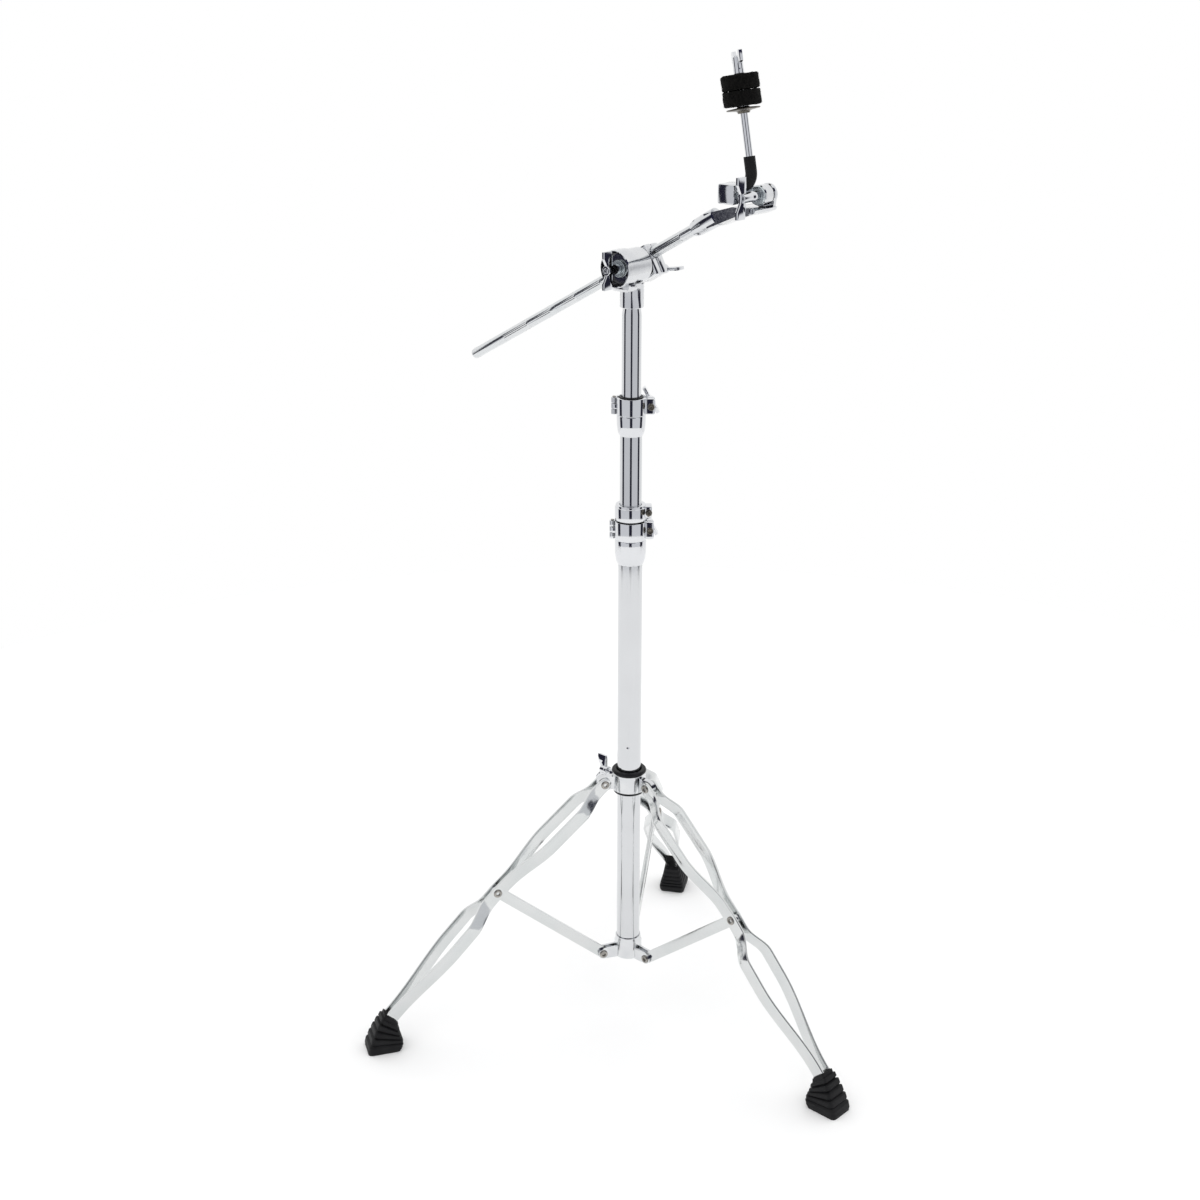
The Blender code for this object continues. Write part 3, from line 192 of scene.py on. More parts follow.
LOOKS = {
    "chrome": (surface("chrome", ((0.70, 0.71, 0.73), (0.73, 0.74, 0.76)), (0.03, 0.09), 1.0,
                       bump=0.02), "chrome"),
    "tube": (surface("tube_chrome", ((0.65, 0.66, 0.675), (0.67, 0.68, 0.695)), (0.05, 0.10), 1.0, fine=700.0,
                     bump=0.03, stretch=(1, 1, 0.03)), "chrome"),
    "rod": (surface("rod_chrome", ((0.68, 0.70, 0.71), (0.71, 0.72, 0.73)), (0.16, 0.22), 1.0,
                    bump=0.0), "chrome"),
    "strip": (surface("strip_chrome", ((0.66, 0.68, 0.68), (0.70, 0.71, 0.71)), (0.10, 0.18), 1.0, fine=500.0,
                      bump=0.05), "chrome"),
    "cast": (surface("cast_chrome", ((0.66, 0.67, 0.69), (0.72, 0.73, 0.74)), (0.06, 0.14), 1.0, wander=60.0,
                     fine=350.0, bump=0.08), "chrome"),
    "zinc": (surface("zinc", ((0.56, 0.62, 0.64), (0.68, 0.73, 0.74)), (0.26, 0.40), 1.0, wander=120.0,
                     bump=0.1), "zinc"),
    "rivet": (surface("rivet_steel", ((0.30, 0.29, 0.27), (0.42, 0.40, 0.37)), (0.15, 0.32), 1.0,
                      wander=150.0, bump=0.1), "zinc"),
    "dark_steel": (surface("dark_steel", ((0.10, 0.095, 0.085), (0.20, 0.18, 0.15)), (0.2, 0.4), 1.0,
                           wander=150.0, bump=0.1), "dark_steel"),
    "nylon": (surface("nylon", ((0.004, 0.004, 0.005), (0.007, 0.007, 0.009)), (0.3, 0.45), 0.0, wander=80.0,
                      bump=0.06, specular=0.2), "nylon"),
    "rubber": (surface("rubber", ((0.004, 0.004, 0.005), (0.008, 0.008, 0.009)), (0.45, 0.65), 0.0,
                       wander=60.0, fine=1200.0, bump=0.15, depth=0.2 * MM, specular=0.22), "rubber"),
    "felt": (felt_surface(), "felt"),
}


# ---------------------------------------------------------------- shapes, as bmeshes in metres

def frame_at(origin, along, across):
    """A placement whose Z axis runs along the one direction and whose X axis leans to the other."""
    z = Vector(along).normalized()
    y = z.cross(Vector(across)).normalized()
    x = y.cross(z)
    return Matrix.Translation(Vector(origin)) @ Matrix((x, y, z)).transposed().to_4x4()


def column(height):
    return Matrix.Translation((0, 0, height))


def shifted(x, y, z):
    return Matrix.Translation((x, y, z))


def rounded(points, radius, closed=True, count=4):
    """The outline with each corner drawn round, by no more than the sides beside it allow."""
    corners = [Vector(p) for p in points]
    made = []
    for i, corner in enumerate(corners):
        if not closed and i in (0, len(corners) - 1):
            made.append(corner)
            continue
        before = corners[i - 1] - corner
        after = corners[(i + 1) % len(corners)] - corner
        reach = min(radius, 0.45 * before.length, 0.45 * after.length)
        start = corner + before.normalized() * reach
        end = corner + after.normalized() * reach
        for k in range(count + 1):
            part = k / count
            made.append(start * (1 - part) ** 2 + corner * 2 * part * (1 - part) + end * part ** 2)
    return made


def skin(loops, closed=False):
    """A solid skin over loops of points: closed on itself, or capped at both ends."""
    shape = bmesh.new()
    rings = [[shape.verts.new(p) for p in loop] for loop in loops]
    pairs = list(zip(rings, rings[1:]))
    if closed:
        pairs.append((rings[-1], rings[0]))
    for upper, lower in pairs:
        for i in range(len(upper)):
            j = (i + 1) % len(upper)
            shape.faces.new((upper[i], upper[j], lower[j], lower[i]))
    if not closed:
        for ring in (rings[0], rings[-1]):
            if (ring[0].co - ring[len(ring) // 2].co).length > 0.01 * MM:
                shape.faces.new(ring)
    bmesh.ops.remove_doubles(shape, verts=shape.verts, dist=0.0000005)
    bmesh.ops.dissolve_degenerate(shape, edges=shape.edges, dist=0.0000001)
    bmesh.ops.recalc_face_normals(shape, faces=shape.faces)
    return shape


def circle(radius, height, steps):
    return [(radius * math.cos(2 * math.pi * i / steps), radius * math.sin(2 * math.pi * i / steps), height)
            for i in range(steps)]


def turned(profile, place, edge=0.4 * MM, steps=72):
    """(radius, height) points turned about the frame's Z axis. They may start and end on the axis."""
    hollow = min(r for r, _ in profile) > 0
    line = rounded(profile, edge, hollow) if edge else profile
    return moved(skin([circle(r, z, steps) for r, z in line], hollow), place)


def moved(shape, place):
    shape.transform(place)
    return shape


def disc(radius, low, high, place, edge=0.4 * MM, steps=48):
    return turned([(0, high), (radius, high), (radius, low), (0, low)], place, edge, steps)


def softened(shape, width, segments=3, angle=35 * DEG):
    """Breaks every edge that is sharper than the angle."""
    sharp = [e for e in shape.edges if len(e.link_faces) == 2 and e.calc_face_angle(0) > angle]
    bmesh.ops.bevel(shape, geom=sharp, offset=width, segments=segments, affect="EDGES", profile=0.5,
                    clamp_overlap=True)
    return shape


def block(size, place, edge=0.6 * MM):
    shape = bmesh.new()
    bmesh.ops.create_cube(shape, size=1)
    bmesh.ops.scale(shape, vec=Vector(size), verts=shape.verts)
    return moved(softened(shape, edge), place)


def plate(outline, thickness, place, edge=0.4 * MM, holes=(), segments=2):
    """A flat outline in the frame's XY plane, half its thickness to each side, with round holes."""
    curve = bpy.data.curves.new("outline", "CURVE")
    curve.dimensions = "2D"
    curve.fill_mode = "BOTH"
    curve.extrude = thickness / 2
    for loop in [outline] + [arc(centre, radius, 0, 345, 24) for centre, radius in holes]:
        spline = curve.splines.new("POLY")
        spline.points.add(len(loop) - 1)
        for point, (x, y) in zip(spline.points, loop):
            point.co = (x, y, 0, 1)
        spline.use_cyclic_u = True
    holder = bpy.data.objects.new("outline", curve)
    bpy.context.scene.collection.objects.link(holder)
    mesh = bpy.data.meshes.new_from_object(holder.evaluated_get(bpy.context.evaluated_depsgraph_get()))
    bpy.data.objects.remove(holder)
    bpy.data.curves.remove(curve)
    shape = bmesh.new()
    shape.from_mesh(mesh)
    bpy.data.meshes.remove(mesh)
    bmesh.ops.remove_doubles(shape, verts=shape.verts, dist=0.000001)
    bmesh.ops.recalc_face_normals(shape, faces=shape.faces)
    if edge:
        softened(shape, edge, segments)
    return moved(shape, place)


def arc(centre, radius, start, end, count):
    """Points on an arc, with angles in degrees."""
    angles = [(start + (end - start) * i / (count - 1)) * DEG for i in range(count)]
    return [(centre[0] + radius * math.cos(a), centre[1] + radius * math.sin(a)) for a in angles]


def capsule(start, end, width, count=15):
    angle = math.degrees(math.atan2(end[1] - start[1], end[0] - start[0]))
    return (arc(start, width / 2, angle + 90, angle + 270, count)
            + arc(end, width / 2, angle - 90, angle + 90, count))


def sector(inner, outer, low, high, start, end, place, edge=0.5 * MM):
    """A slice of a ring, with a rounded section."""
    section = rounded([(outer, high), (outer, low), (inner, low), (inner, high)], edge)
    loops = []
    count = 40
    for i in range(count + 1):
        angle = (start + (end - start) * i / count) * DEG
        loops.append([(r * math.cos(angle), r * math.sin(angle), z) for r, z in section])
    return moved(skin(loops), place)


def thread(radius, low, high, place, pitch=THREAD_PITCH, columns=24):
    """A screw thread between two heights, its crests on the radius, with a lead-in at its top."""
    depth = 0.32 * pitch
    rows = max(4, round((high - low) / pitch * 6))
    loops = []
    for row in range(rows + 1):
        height = low + (high - low) * row / rows
        lead = min(1.0, (high - height) / pitch + 0.35)
        loop = []
        for i in range(columns):
            turn = i / columns
            wave = abs(2 * ((height / pitch - turn) % 1.0) - 1)
            r = (radius - depth * wave) * (0.82 + 0.18 * lead)
            loop.append((r * math.cos(2 * math.pi * turn), r * math.sin(2 * math.pi * turn), height))
        loops.append(loop)
    return moved(skin(loops), place)


def swept(points, radius, place, steps=32, bore=None):
    """A round bar along points in the frame's XY plane, or with a bore, a sleeve."""
    line = [Vector(p) for p in points]
    loops = []
    for radius_now, order in ((radius, line),) if bore is None else ((radius, line), (bore, line[::-1])):
        for i, point in enumerate(order):
            ahead = order[min(i + 1, len(order) - 1)] - order[max(i - 1, 0)]
            ahead = ahead if order is line else -ahead
            side = Vector((0, 0, 1)).cross(ahead).normalized()
            loops.append([point + (side * math.cos(2 * math.pi * k / steps)
                                   + Vector((0, 0, 1)) * math.sin(2 * math.pi * k / steps)) * radius_now
                          for k in range(steps)])
    return moved(skin(loops, bore is not None), place)


# ---------------------------------------------------------------- pieces

def finish(obj, look, body, nodes):
    material, slot = LOOKS[look]
    obj.data.materials.clear()
    obj.data.materials.append(material)
    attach(obj, body)
    if nodes:
        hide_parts(*nodes)
    return obj


def piece(name, shapes, look, body, *nodes):
    """One visible piece made of one or more closed shapes, which stands for the CAD nodes named."""
    mesh = bpy.data.meshes.new(name)
    whole = bmesh.new()
    for shape in shapes:
        part = bpy.data.meshes.new("part")
        shape.to_mesh(part)
        shape.free()
        whole.from_mesh(part)
        bpy.data.meshes.remove(part)
    whole.to_mesh(mesh)
    whole.free()
    mesh.shade_smooth()
    mesh.set_sharp_from_angle(angle=32 * DEG)
    obj = bpy.data.objects.new(name, mesh)
    bpy.context.scene.collection.objects.link(obj)
    return finish(obj, look, body, nodes)


def keep(name, look, edge=0.0):
    """A CAD node whose shape stays: a finish, rounded shading, and broken edges where they are clean."""
    obj = frame["nodes"][name]
    material, slot = LOOKS[look]
    obj.data.materials.clear()
    obj.data.materials.append(material)
    for polygon in obj.data.polygons:
        polygon.use_smooth = True
    weld = obj.modifiers.new("weld", "WELD")
    weld.merge_threshold = 0.000002
    if edge:
        bevel = obj.modifiers.new("bevel", "BEVEL")
        bevel.width = edge
        bevel.segments = 2
        bevel.limit_method = "ANGLE"
        bevel.angle_limit = 40 * DEG
        bevel.harden_normals = False
    split = obj.modifiers.new("split", "EDGE_SPLIT")
    split.split_angle = 34 * DEG
    return obj


# ---------------------------------------------------------------- wing bolts and wing nuts

def wing_outline(span, waist):
    """Two straight-edged wings that rise from the boss to broad square tips."""
    half = span / 2
    right = [
        (waist, 0), (half, 0.10 * WING_LENGTH), (half, WING_LENGTH), (half - 0.18 * span, WING_LENGTH),
        (waist, 0.62 * WING_LENGTH),
    ]
    left = [(-x, y) for x, y in reversed(right)]
    return rounded(right + left, 0.5 * MM)


def wings(radius, boss, lift, span, turn, place):
    start = boss - WING_LENGTH * 0.62 + lift
    upright = place @ Matrix.Rotation(turn, 4, "Z") @ shifted(0, 0, start) @ Matrix.Rotation(90 * DEG, 4, "X")
    return plate(wing_outline(span, radius * 0.8), WING_THICKNESS, upright, 0.45 * MM)


def boss_profile(radius, boss, hole, depth):
    """A boss that widens a little at its foot, hollow at its end."""
    return [
        (0, boss - depth), (hole, boss - depth), (hole, boss), (radius * 0.94, boss),
        (radius * 0.94, boss * 0.45), (radius, boss * 0.3), (radius, 0.8 * MM), (radius * 0.9, 0), (0, 0),
    ]


def wing_bolt(name, body, place, shaft, boss, lift, span, turn, radius=BOSS_RADIUS, threaded=12 * MM):
    shapes = [
        turned(boss_profile(radius, boss, radius * 0.5, 3.2 * MM), place, 0.5 * MM, 48),
        wings(radius, boss, lift, span, turn, place),
    ]
    down = place @ Matrix.Rotation(math.pi, 4, "X")
    shapes.append(disc(BOLT_RADIUS * 0.9, -1.5 * MM, shaft - threaded + 0.5 * MM, down, 0.2 * MM))
    shapes.append(thread(BOLT_RADIUS, shaft - threaded, shaft, down))
    return piece(name + "_detail", shapes, "chrome", body, name)


# ---------------------------------------------------------------- tripod

LEGS = {side: math.atan2(joint_at(side + "_leg_knee").y, joint_at(side + "_leg_knee").x)
        for side in ("left", "right", "rear")}


def leg_point(name):
    """Radius and height of a pivot."""
    at = joint_at(name)
    return Vector((math.hypot(at.x, at.y), at.z))


HUB_PIVOT = leg_point("hub_slide_pivot")
KNEE_PIVOT = leg_point("left_leg_knee")
BRACKET_PIVOT = leg_point("tripod_fold")
THIGH = (KNEE_PIVOT - HUB_PIVOT).normalized()
SHIN = (FOOT_TOP - KNEE_PIVOT).normalized()
THIGH_LENGTH = (KNEE_PIVOT - HUB_PIVOT).length
SHIN_LENGTH = (FOOT_TOP - KNEE_PIVOT).length
HUB_SPREAD = HUB_EAR_THICKNESS / 2 + GAP + STRIP_THICKNESS / 2
KNEE_SPREAD = BRACE_THICKNESS / 2 + KNEE_GAP + STRIP_THICKNESS / 2


def radial(azimuth):
    return Vector((math.cos(azimuth), math.sin(azimuth), 0))


def leg_frame(azimuth):
    """X runs out along the leg's azimuth, Y up, and Z to the clockwise side as seen from above."""
    return frame_at((0, 0, 0), radial(azimuth).cross(UP), radial(azimuth))


def ease(value):
    value = min(1.0, max(0.0, value))
    return value * value * (3 - 2 * value)


def bump(value, low, rise, fall, high):
    """0 outside low to high, 1 between rise and fall, and eased between them."""
    if value < rise:
        return ease((value - low) / (rise - low))
    return 1 - ease((value - fall) / (high - fall))


def strip_spread(reach):
    """How far a strip stands from the middle plane of its leg, by its reach along the leg."""
    if reach < THIGH_LENGTH:
        ends = HUB_SPREAD + (KNEE_SPREAD - HUB_SPREAD) * ease(reach / THIGH_LENGTH)
        return ends + (UPPER_BOW - ends) * bump(reach / THIGH_LENGTH, 0.07, 0.24, 0.52, 0.90)
    part = (reach - THIGH_LENGTH) / SHIN_LENGTH
    ends = KNEE_SPREAD + (FOOT_SPREAD - KNEE_SPREAD) * ease(part)
    return ends + (LOWER_BOW - ends) * bump(part, 0.08, 0.26, 0.42, 0.96)


def leg_strip(name, azimuth, side, body):
    """A flat bar cut to its side outline, then set out from the leg's middle plane along its length."""
    miter = (Vector((-THIGH.y, THIGH.x)) + Vector((-SHIN.y, SHIN.x))).normalized()
    half = STRIP_WIDTH / 2
    down = math.degrees(math.atan2(THIGH.y, THIGH.x))
    down_shin = math.degrees(math.atan2(SHIN.y, SHIN.x))
    end = KNEE_PIVOT + SHIN * (SHIN_LENGTH + STRIP_IN_FOOT - half)
    outline = arc(HUB_PIVOT, half, down + 90, down + 270, 17)
    outline.append(tuple(KNEE_PIVOT - miter * half))
    outline += arc(end, half, down_shin - 90, down_shin + 90, 17)
    outline.append(tuple(KNEE_PIVOT + miter * half))
    shape = plate(outline, STRIP_THICKNESS, Matrix.Identity(4), 0.5 * MM)
    stations = 44
    for start, direction, length in ((HUB_PIVOT, THIGH, THIGH_LENGTH), (KNEE_PIVOT, SHIN, SHIN_LENGTH)):
        for i in range(1, stations):
            point = start + direction * length * (i / stations)
            bmesh.ops.bisect_plane(shape, geom=shape.verts[:] + shape.edges[:] + shape.faces[:],
                                   dist=0.0000001, plane_co=(*point, 0), plane_no=(*direction, 0))
    for vertex in shape.verts:
        flat = Vector(vertex.co[:2])
        reach = (flat - HUB_PIVOT).dot(THIGH)
        if reach > THIGH_LENGTH:
            reach = THIGH_LENGTH + max(0.0, (flat - KNEE_PIVOT).dot(SHIN))
        vertex.co.z += side * strip_spread(max(0.0, reach))
    bmesh.ops.triangulate(shape, faces=shape.faces)
    return piece(name + "_detail", [moved(shape, leg_frame(azimuth))], "strip", body, name)


def rivet(name, azimuth, centre, half_grip, body):
    """A tubular rivet, rolled over at both ends, with a dark hollow in each."""
    place = leg_frame(azimuth) @ shifted(*centre, 0)
    grip = half_grip + GAP
    roll = [
        (0, grip - 0.8 * MM), (2.1 * MM, grip - 0.8 * MM), (2.4 * MM, grip + 1.2 * MM),
        (3.2 * MM, grip + 1.7 * MM), (4.3 * MM, grip + 1.5 * MM), (RIVET_HEAD, grip + 0.5 * MM),
        (RIVET_HEAD - 0.2 * MM, grip), (RIVET_RADIUS, grip),
    ]
    mirror = [(r, -h) for r, h in reversed(roll)]
    low = grip + 1.3 * MM  # the far end stays as short as the CAD rivet's
    mirror = [(r, max(h, -low)) for r, h in mirror]
    return piece(name + "_detail", [turned(roll + mirror, place, 0.35 * MM, 40)], "rivet", body, name)


def boot_outline(length, width, corner, count=6):
    """Points of a rectangle with round corners, around its middle."""
    points = []
    for sx, sy, start in ((1, 1, 0), (-1, 1, 90), (-1, -1, 180), (1, -1, 270)):
        centre = (sx * (length / 2 - corner), sy * (width / 2 - corner))
        points += arc(centre, corner, start, start + 90, count)
    return points


def boot_shares(part):
    """Length and width of the boot, as shares of the sole's, by the part of the way down to it."""
    if part < 0.10:
        return 0.50 + 0.3 * part, 0.52 + 0.3 * part
    if part > 0.73:
        flare = ease((part - 0.73) / 0.05)
        tuck = 0.05 * ease((part - 0.90) / 0.10)
        return 0.90 + 0.09 * flare - tuck, 0.88 + 0.10 * flare - tuck
    walk = (part - 0.10) / 0.63 * FOOT_RIBS
    rib, where = int(walk), walk % 1.0
    grown = 0.53 + 0.36 * rib / FOOT_RIBS
    swell = ease(where / 0.12) * (1 - ease((where - 0.70) / 0.25))
    slope = 0.05 * where
    return grown + slope + 0.095 * swell, grown + slope + 0.10 * swell


def foot(name, azimuth, body):
    """A rubber boot: bellows that widen from the collar on the strips to a flat sole."""
    slope = math.atan2(SHIN.x, -SHIN.y)
    loops = []
    count = 72
    for row in range(count + 1):
        part = row / count
        long_share, wide_share = boot_shares(part)
        centre = FOOT_TOP + (FOOT_SOLE - FOOT_TOP) * part
        lean = slope * (1 - ease(part * 1.15))
        loop = []
        for x, y in boot_outline(FOOT_LENGTH * long_share, FOOT_WIDTH * wide_share, 5.5 * MM * long_share):
            flat = Vector((x * math.cos(lean), x * math.sin(lean)))
            height = 0.05 * MM if row == count else max(0.05 * MM, centre.y + flat.y)
            loop.append((centre.x + flat.x, height, y))
        loops.append(loop)
    boot = moved(skin(loops), leg_frame(azimuth))
    lip_place = leg_frame(azimuth) @ shifted(*(FOOT_TOP + SHIN * 0.5 * MM), 0)
    along_shin = Matrix.Rotation(math.atan2(SHIN.y, SHIN.x), 4, "Z")
    lip_place = lip_place @ along_shin @ Matrix.Rotation(90 * DEG, 4, "Y")
    lip_place = lip_place @ Matrix.Rotation(90 * DEG, 4, "Z")
    lip_thickness = 3.2 * MM
    lip = plate(boot_outline(16 * MM, 19 * MM, 2.5 * MM), lip_thickness, lip_place, 0.9 * MM, segments=3)
    return piece(name + "_detail", [boot, lip], "rubber", body, name)


def tripod():
    ear_grip = BRACE_THICKNESS / 2 + KNEE_GAP + CLEVIS_WALL
    for side, azimuth in LEGS.items():
        leg = side + "_leg"
        leg_strip(f"{side}_leg_strip_1", azimuth, 1, leg)
        leg_strip(f"{side}_leg_strip_2", azimuth, -1, leg)
        outline = capsule(BRACKET_PIVOT, KNEE_PIVOT, BRACE_WIDTH)
        bar = plate(outline, BRACE_THICKNESS, leg_frame(azimuth), 0.8 * MM, segments=3)
        piece(f"{side}_brace_detail", [bar], "strip", side + "_brace_link", side + "_brace")
        foot(side + "_foot", azimuth, leg)
        rivet(f"{side}_hub_rivet", azimuth, HUB_PIVOT, HUB_SPREAD + STRIP_THICKNESS / 2, leg)
        rivet(f"{side}_knee_rivet", azimuth, KNEE_PIVOT, KNEE_SPREAD + STRIP_THICKNESS / 2, leg)
        rivet(f"{side}_bracket_rivet", azimuth, BRACKET_PIVOT, ear_grip, "stand_base")
    keep("leg_hub", "cast")
    keep("base_bracket", "cast")
    hub_bush()
    at, out = joint_at("hub_bolt_turn"), joint_axis("hub_bolt_turn")
    inner = BASE_RADIUS + 2.9 * MM
    start = Vector((at.x, at.y)).length
    shaft = start - inner - 2 * GAP
    wing_bolt("hub_wing_bolt", "hub_bolt", frame_at(at, out, UP), shaft, 11 * MM, 2 * MM, 36 * MM, 8 * DEG)


def hub_bush():
    """The nylon sleeve in the hub: a fat round flange above it and a thin lip below."""
    low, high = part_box("hub_bush")
    flange = (high.x - low.x) / 2
    inner = BASE_RADIUS + 1.1 * MM
    outer = inner + 1.8 * MM
    half = 11.5 * MM
    middle = HUB_PIVOT.y
    top = high.z - middle
    bottom = low.z - middle
    profile = [
        (inner, top), (flange - 1.2 * MM, top), (flange, top - 1.6 * MM), (flange, half + GAP),
        (outer, half + GAP), (outer, -half - GAP), (outer + 1.8 * MM, -half - GAP),
        (outer + 1.8 * MM, bottom), (inner, bottom),
    ]
    piece("hub_bush_detail", [turned(profile, column(middle), 1.1 * MM, 96)], "nylon", "hub", "hub_bush")


# ---------------------------------------------------------------- column

def half_width(name):
    low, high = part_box(name)
    return (high.x - low.x) / 2


BASE_RADIUS = half_width("base_tube")
MIDDLE_RADIUS = half_width("middle_tube")
UPPER_RADIUS = half_width("upper_tube")


def tubes():
    low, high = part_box("middle_tube")
    ends = [(MIDDLE_RADIUS, high.z), (MIDDLE_RADIUS, low.z), (MIDDLE_RADIUS - TUBE_WALL, low.z),
            (MIDDLE_RADIUS - TUBE_WALL, high.z)]
    tube = turned(ends, column(0), 0.5 * MM, TUBE_STEPS)
    piece("middle_tube_detail", [tube], "tube", "middle_section", "middle_tube")

    low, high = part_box("upper_tube")
    sleeve_foot = joint_at("boom_swivel").z
    neck = high.z - sleeve_foot
    shoulder = sleeve_foot - 8 * MM
    profile = [
        (NECK_RADIUS, high.z), (NECK_RADIUS, sleeve_foot), (UPPER_RADIUS, shoulder), (UPPER_RADIUS, low.z),
        (UPPER_RADIUS - TUBE_WALL, low.z), (UPPER_RADIUS - TUBE_WALL, shoulder),
        (NECK_RADIUS - TUBE_WALL, high.z - neck), (NECK_RADIUS - TUBE_WALL, high.z),
    ]
    tube = turned(profile, column(0), 1.5 * MM, TUBE_STEPS)
    piece("upper_tube_detail", [tube], "tube", "upper_section", "upper_tube")

    low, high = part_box("base_tube")
    inside = BASE_RADIUS - TUBE_WALL
    dimple = Vector((-0.1, -1.0, 0)).normalized()
    dimple_height = 372 * MM
    dimple_radius = 3 * MM
    dimple_depth = 0.7 * MM
    fine_rows = [dimple_height + (i - 10) * 0.5 * MM for i in range(21)]
    heights = [low.z, low.z + 0.5 * MM] + fine_rows + [high.z]
    loops = []
    for height in heights:
        loop = []
        for x, y, z in circle(BASE_RADIUS, height, 2 * TUBE_STEPS):
            out = Vector((x, y, 0)).normalized()
            reach = math.hypot((out - dimple).length * BASE_RADIUS, height - dimple_height)
            sink = dimple_depth * (1 - ease(reach / dimple_radius))
            loop.append((x - out.x * sink, y - out.y * sink, z))
        loops.append(loop)
    loops += [circle(inside, height, 2 * TUBE_STEPS) for height in (high.z, low.z)]
    piece("base_tube_detail", [skin(loops, True)], "tube", "stand_base", "base_tube")


def collar(name, body, nut_body, tube_radius, inner_tube):
    """A cup on the outer tube, its rear half-band, the hinged front gate, and their bolt and nut."""
    low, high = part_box(name + "_collar")
    place = column(low.z)
    cup = CUP_HEIGHTS[name]
    top = high.z - low.z
    bore = tube_radius + GAP
    bush = inner_tube + GAP
    bush_outer = bush + BUSH_WALL
    band_inner = bush_outer + GAP
    cup_outer = tube_radius + CUP_WALL
    band_outer = max(band_inner + BAND_WALL, cup_outer + 0.8 * MM)
    middle = (cup + top) / 2
    profile = [
        (cup_outer - 0.8 * MM, cup), (cup_outer, cup - 2.2 * MM), (cup_outer, cup - 5 * MM),
        (cup_outer - 0.3 * MM, 12 * MM), (cup_outer - 1.2 * MM, 5 * MM), (cup_outer - 2.4 * MM, 1.6 * MM),
        (bore + 0.6 * MM, 0), (bore, 0), (bore, cup - 2 * MM), (bush + 0.2 * MM, cup - 2 * MM),
        (bush + 0.2 * MM, cup),
    ]
    fixed = [
        turned(profile, place, 1.2 * MM, 96),
        sector(band_inner, band_outer, cup - 0.5 * MM, top, 10, 166, place),
    ]
    gate = [sector(band_inner, band_outer, cup + GAP, top, 194, 350, place)]
    hinge = place @ shifted(-(band_outer + BARREL_RADIUS * 0.55), 0, 0)
    third = (top - cup) / 3
    knuckles = (
        (fixed, 1, cup + GAP, cup + third - GAP),
        (fixed, 1, top - third + GAP, top - 0.2 * MM),
        (gate, -1, cup + third + GAP, top - third - GAP),
    )
    for shapes, side, foot_, head in knuckles:
        shapes.append(disc(BARREL_RADIUS, foot_, head, hinge, 0.5 * MM))
        shapes.append(block((4.4 * MM, 4.6 * MM, head - foot_ - 0.4 * MM),
                            place @ shifted(-band_outer, side * 3.2 * MM, (foot_ + head) / 2), 0.5 * MM))
    ear_length = EAR_REACH - band_outer + 2 * MM
    ear_height = top - cup - 2 * MM
    for shapes, side in ((fixed, 1), (gate, -1)):
        ear_place = place @ shifted(EAR_REACH - ear_length / 2, side * EAR_OFFSET, middle)
        outline = rounded([(ear_length / 2, ear_height / 2), (-ear_length / 2, ear_height / 2),
                           (-ear_length / 2, -ear_height / 2), (ear_length / 2, -ear_height / 2)], 3.2 * MM)
        shapes.append(plate(outline, EAR_THICKNESS, ear_place @ Matrix.Rotation(90 * DEG, 4, "X"), 1.0 * MM,
                            segments=3))
    piece(name + "_collar_detail", fixed, "chrome", body, name + "_collar")
    piece(name + "_clamp_gate_detail", gate, "chrome", body, name + "_clamp_gate")
    pin = [disc(PIN_RADIUS, cup + 0.5 * MM, top + 0.6 * MM, hinge, 0.3 * MM),
           disc(PIN_RADIUS * 1.25, top + 0.1 * MM, top + 1.1 * MM, hinge, 0.4 * MM)]
    piece(name + "_clamp_hinge_pin_detail", pin, "rivet", body, name + "_clamp_hinge_pin")

    nut_at = joint_at(name + "_clamp_nut_turn")
    bolt = frame_at((nut_at.x, 0, nut_at.z), (0, -1, 0), UP)
    face = nut_at.y
    end = -face - CLAMP_NUT_BOSS + 4 * MM
    head = [
        (0, face + 1.6 * MM), (1.9 * MM, face + 1.6 * MM), (1.9 * MM, face + 2.6 * MM),
        (CLAMP_BOLT_HEAD - 0.4 * MM, face + 2.6 * MM), (CLAMP_BOLT_HEAD, face + 1.4 * MM),
        (CLAMP_BOLT_HEAD, face), (BOLT_RADIUS, face), (BOLT_RADIUS, end + 8 * MM), (0, end + 8 * MM),
    ]
    threaded = thread(BOLT_RADIUS, -end - 9 * MM, -end, bolt @ Matrix.Rotation(math.pi, 4, "X"))
    piece(name + "_clamp_bolt_detail", [turned(head, bolt, 0.4 * MM, 40), threaded], "dark_steel", body,
          name + "_clamp_bolt")
    nut_place = frame_at(nut_at, (0, 1, 0), (-0.5, 0, 0.87))
    hole = BOLT_RADIUS + GAP
    boss = CLAMP_NUT_BOSS
    nut_section = [(CLAMP_NUT_RADIUS, 0), (hole, 0), (hole, boss), (CLAMP_NUT_RADIUS, boss)]
    nut = [turned(nut_section, nut_place, 0.4 * MM, 40)]
    start = boss - WING_LENGTH * 0.62
    upright = nut_place @ shifted(0, 0, start) @ Matrix.Rotation(90 * DEG, 4, "X")
    for sign in (1, -1):
        outline = rounded([(sign * 3.6 * MM, 0), (sign * 10 * MM, 0), (sign * 17 * MM, 0.16 * WING_LENGTH),
                           (sign * 16.4 * MM, WING_LENGTH), (sign * 10.6 * MM, WING_LENGTH),
                           (sign * 3.6 * MM, 0.6 * WING_LENGTH)], 1.2 * MM)
        nut.append(plate(outline, WING_THICKNESS, upright, 0.9 * MM, segments=3))
    piece(name + "_clamp_wing_nut_detail", nut, "chrome", nut_body, name + "_clamp_wing_nut")

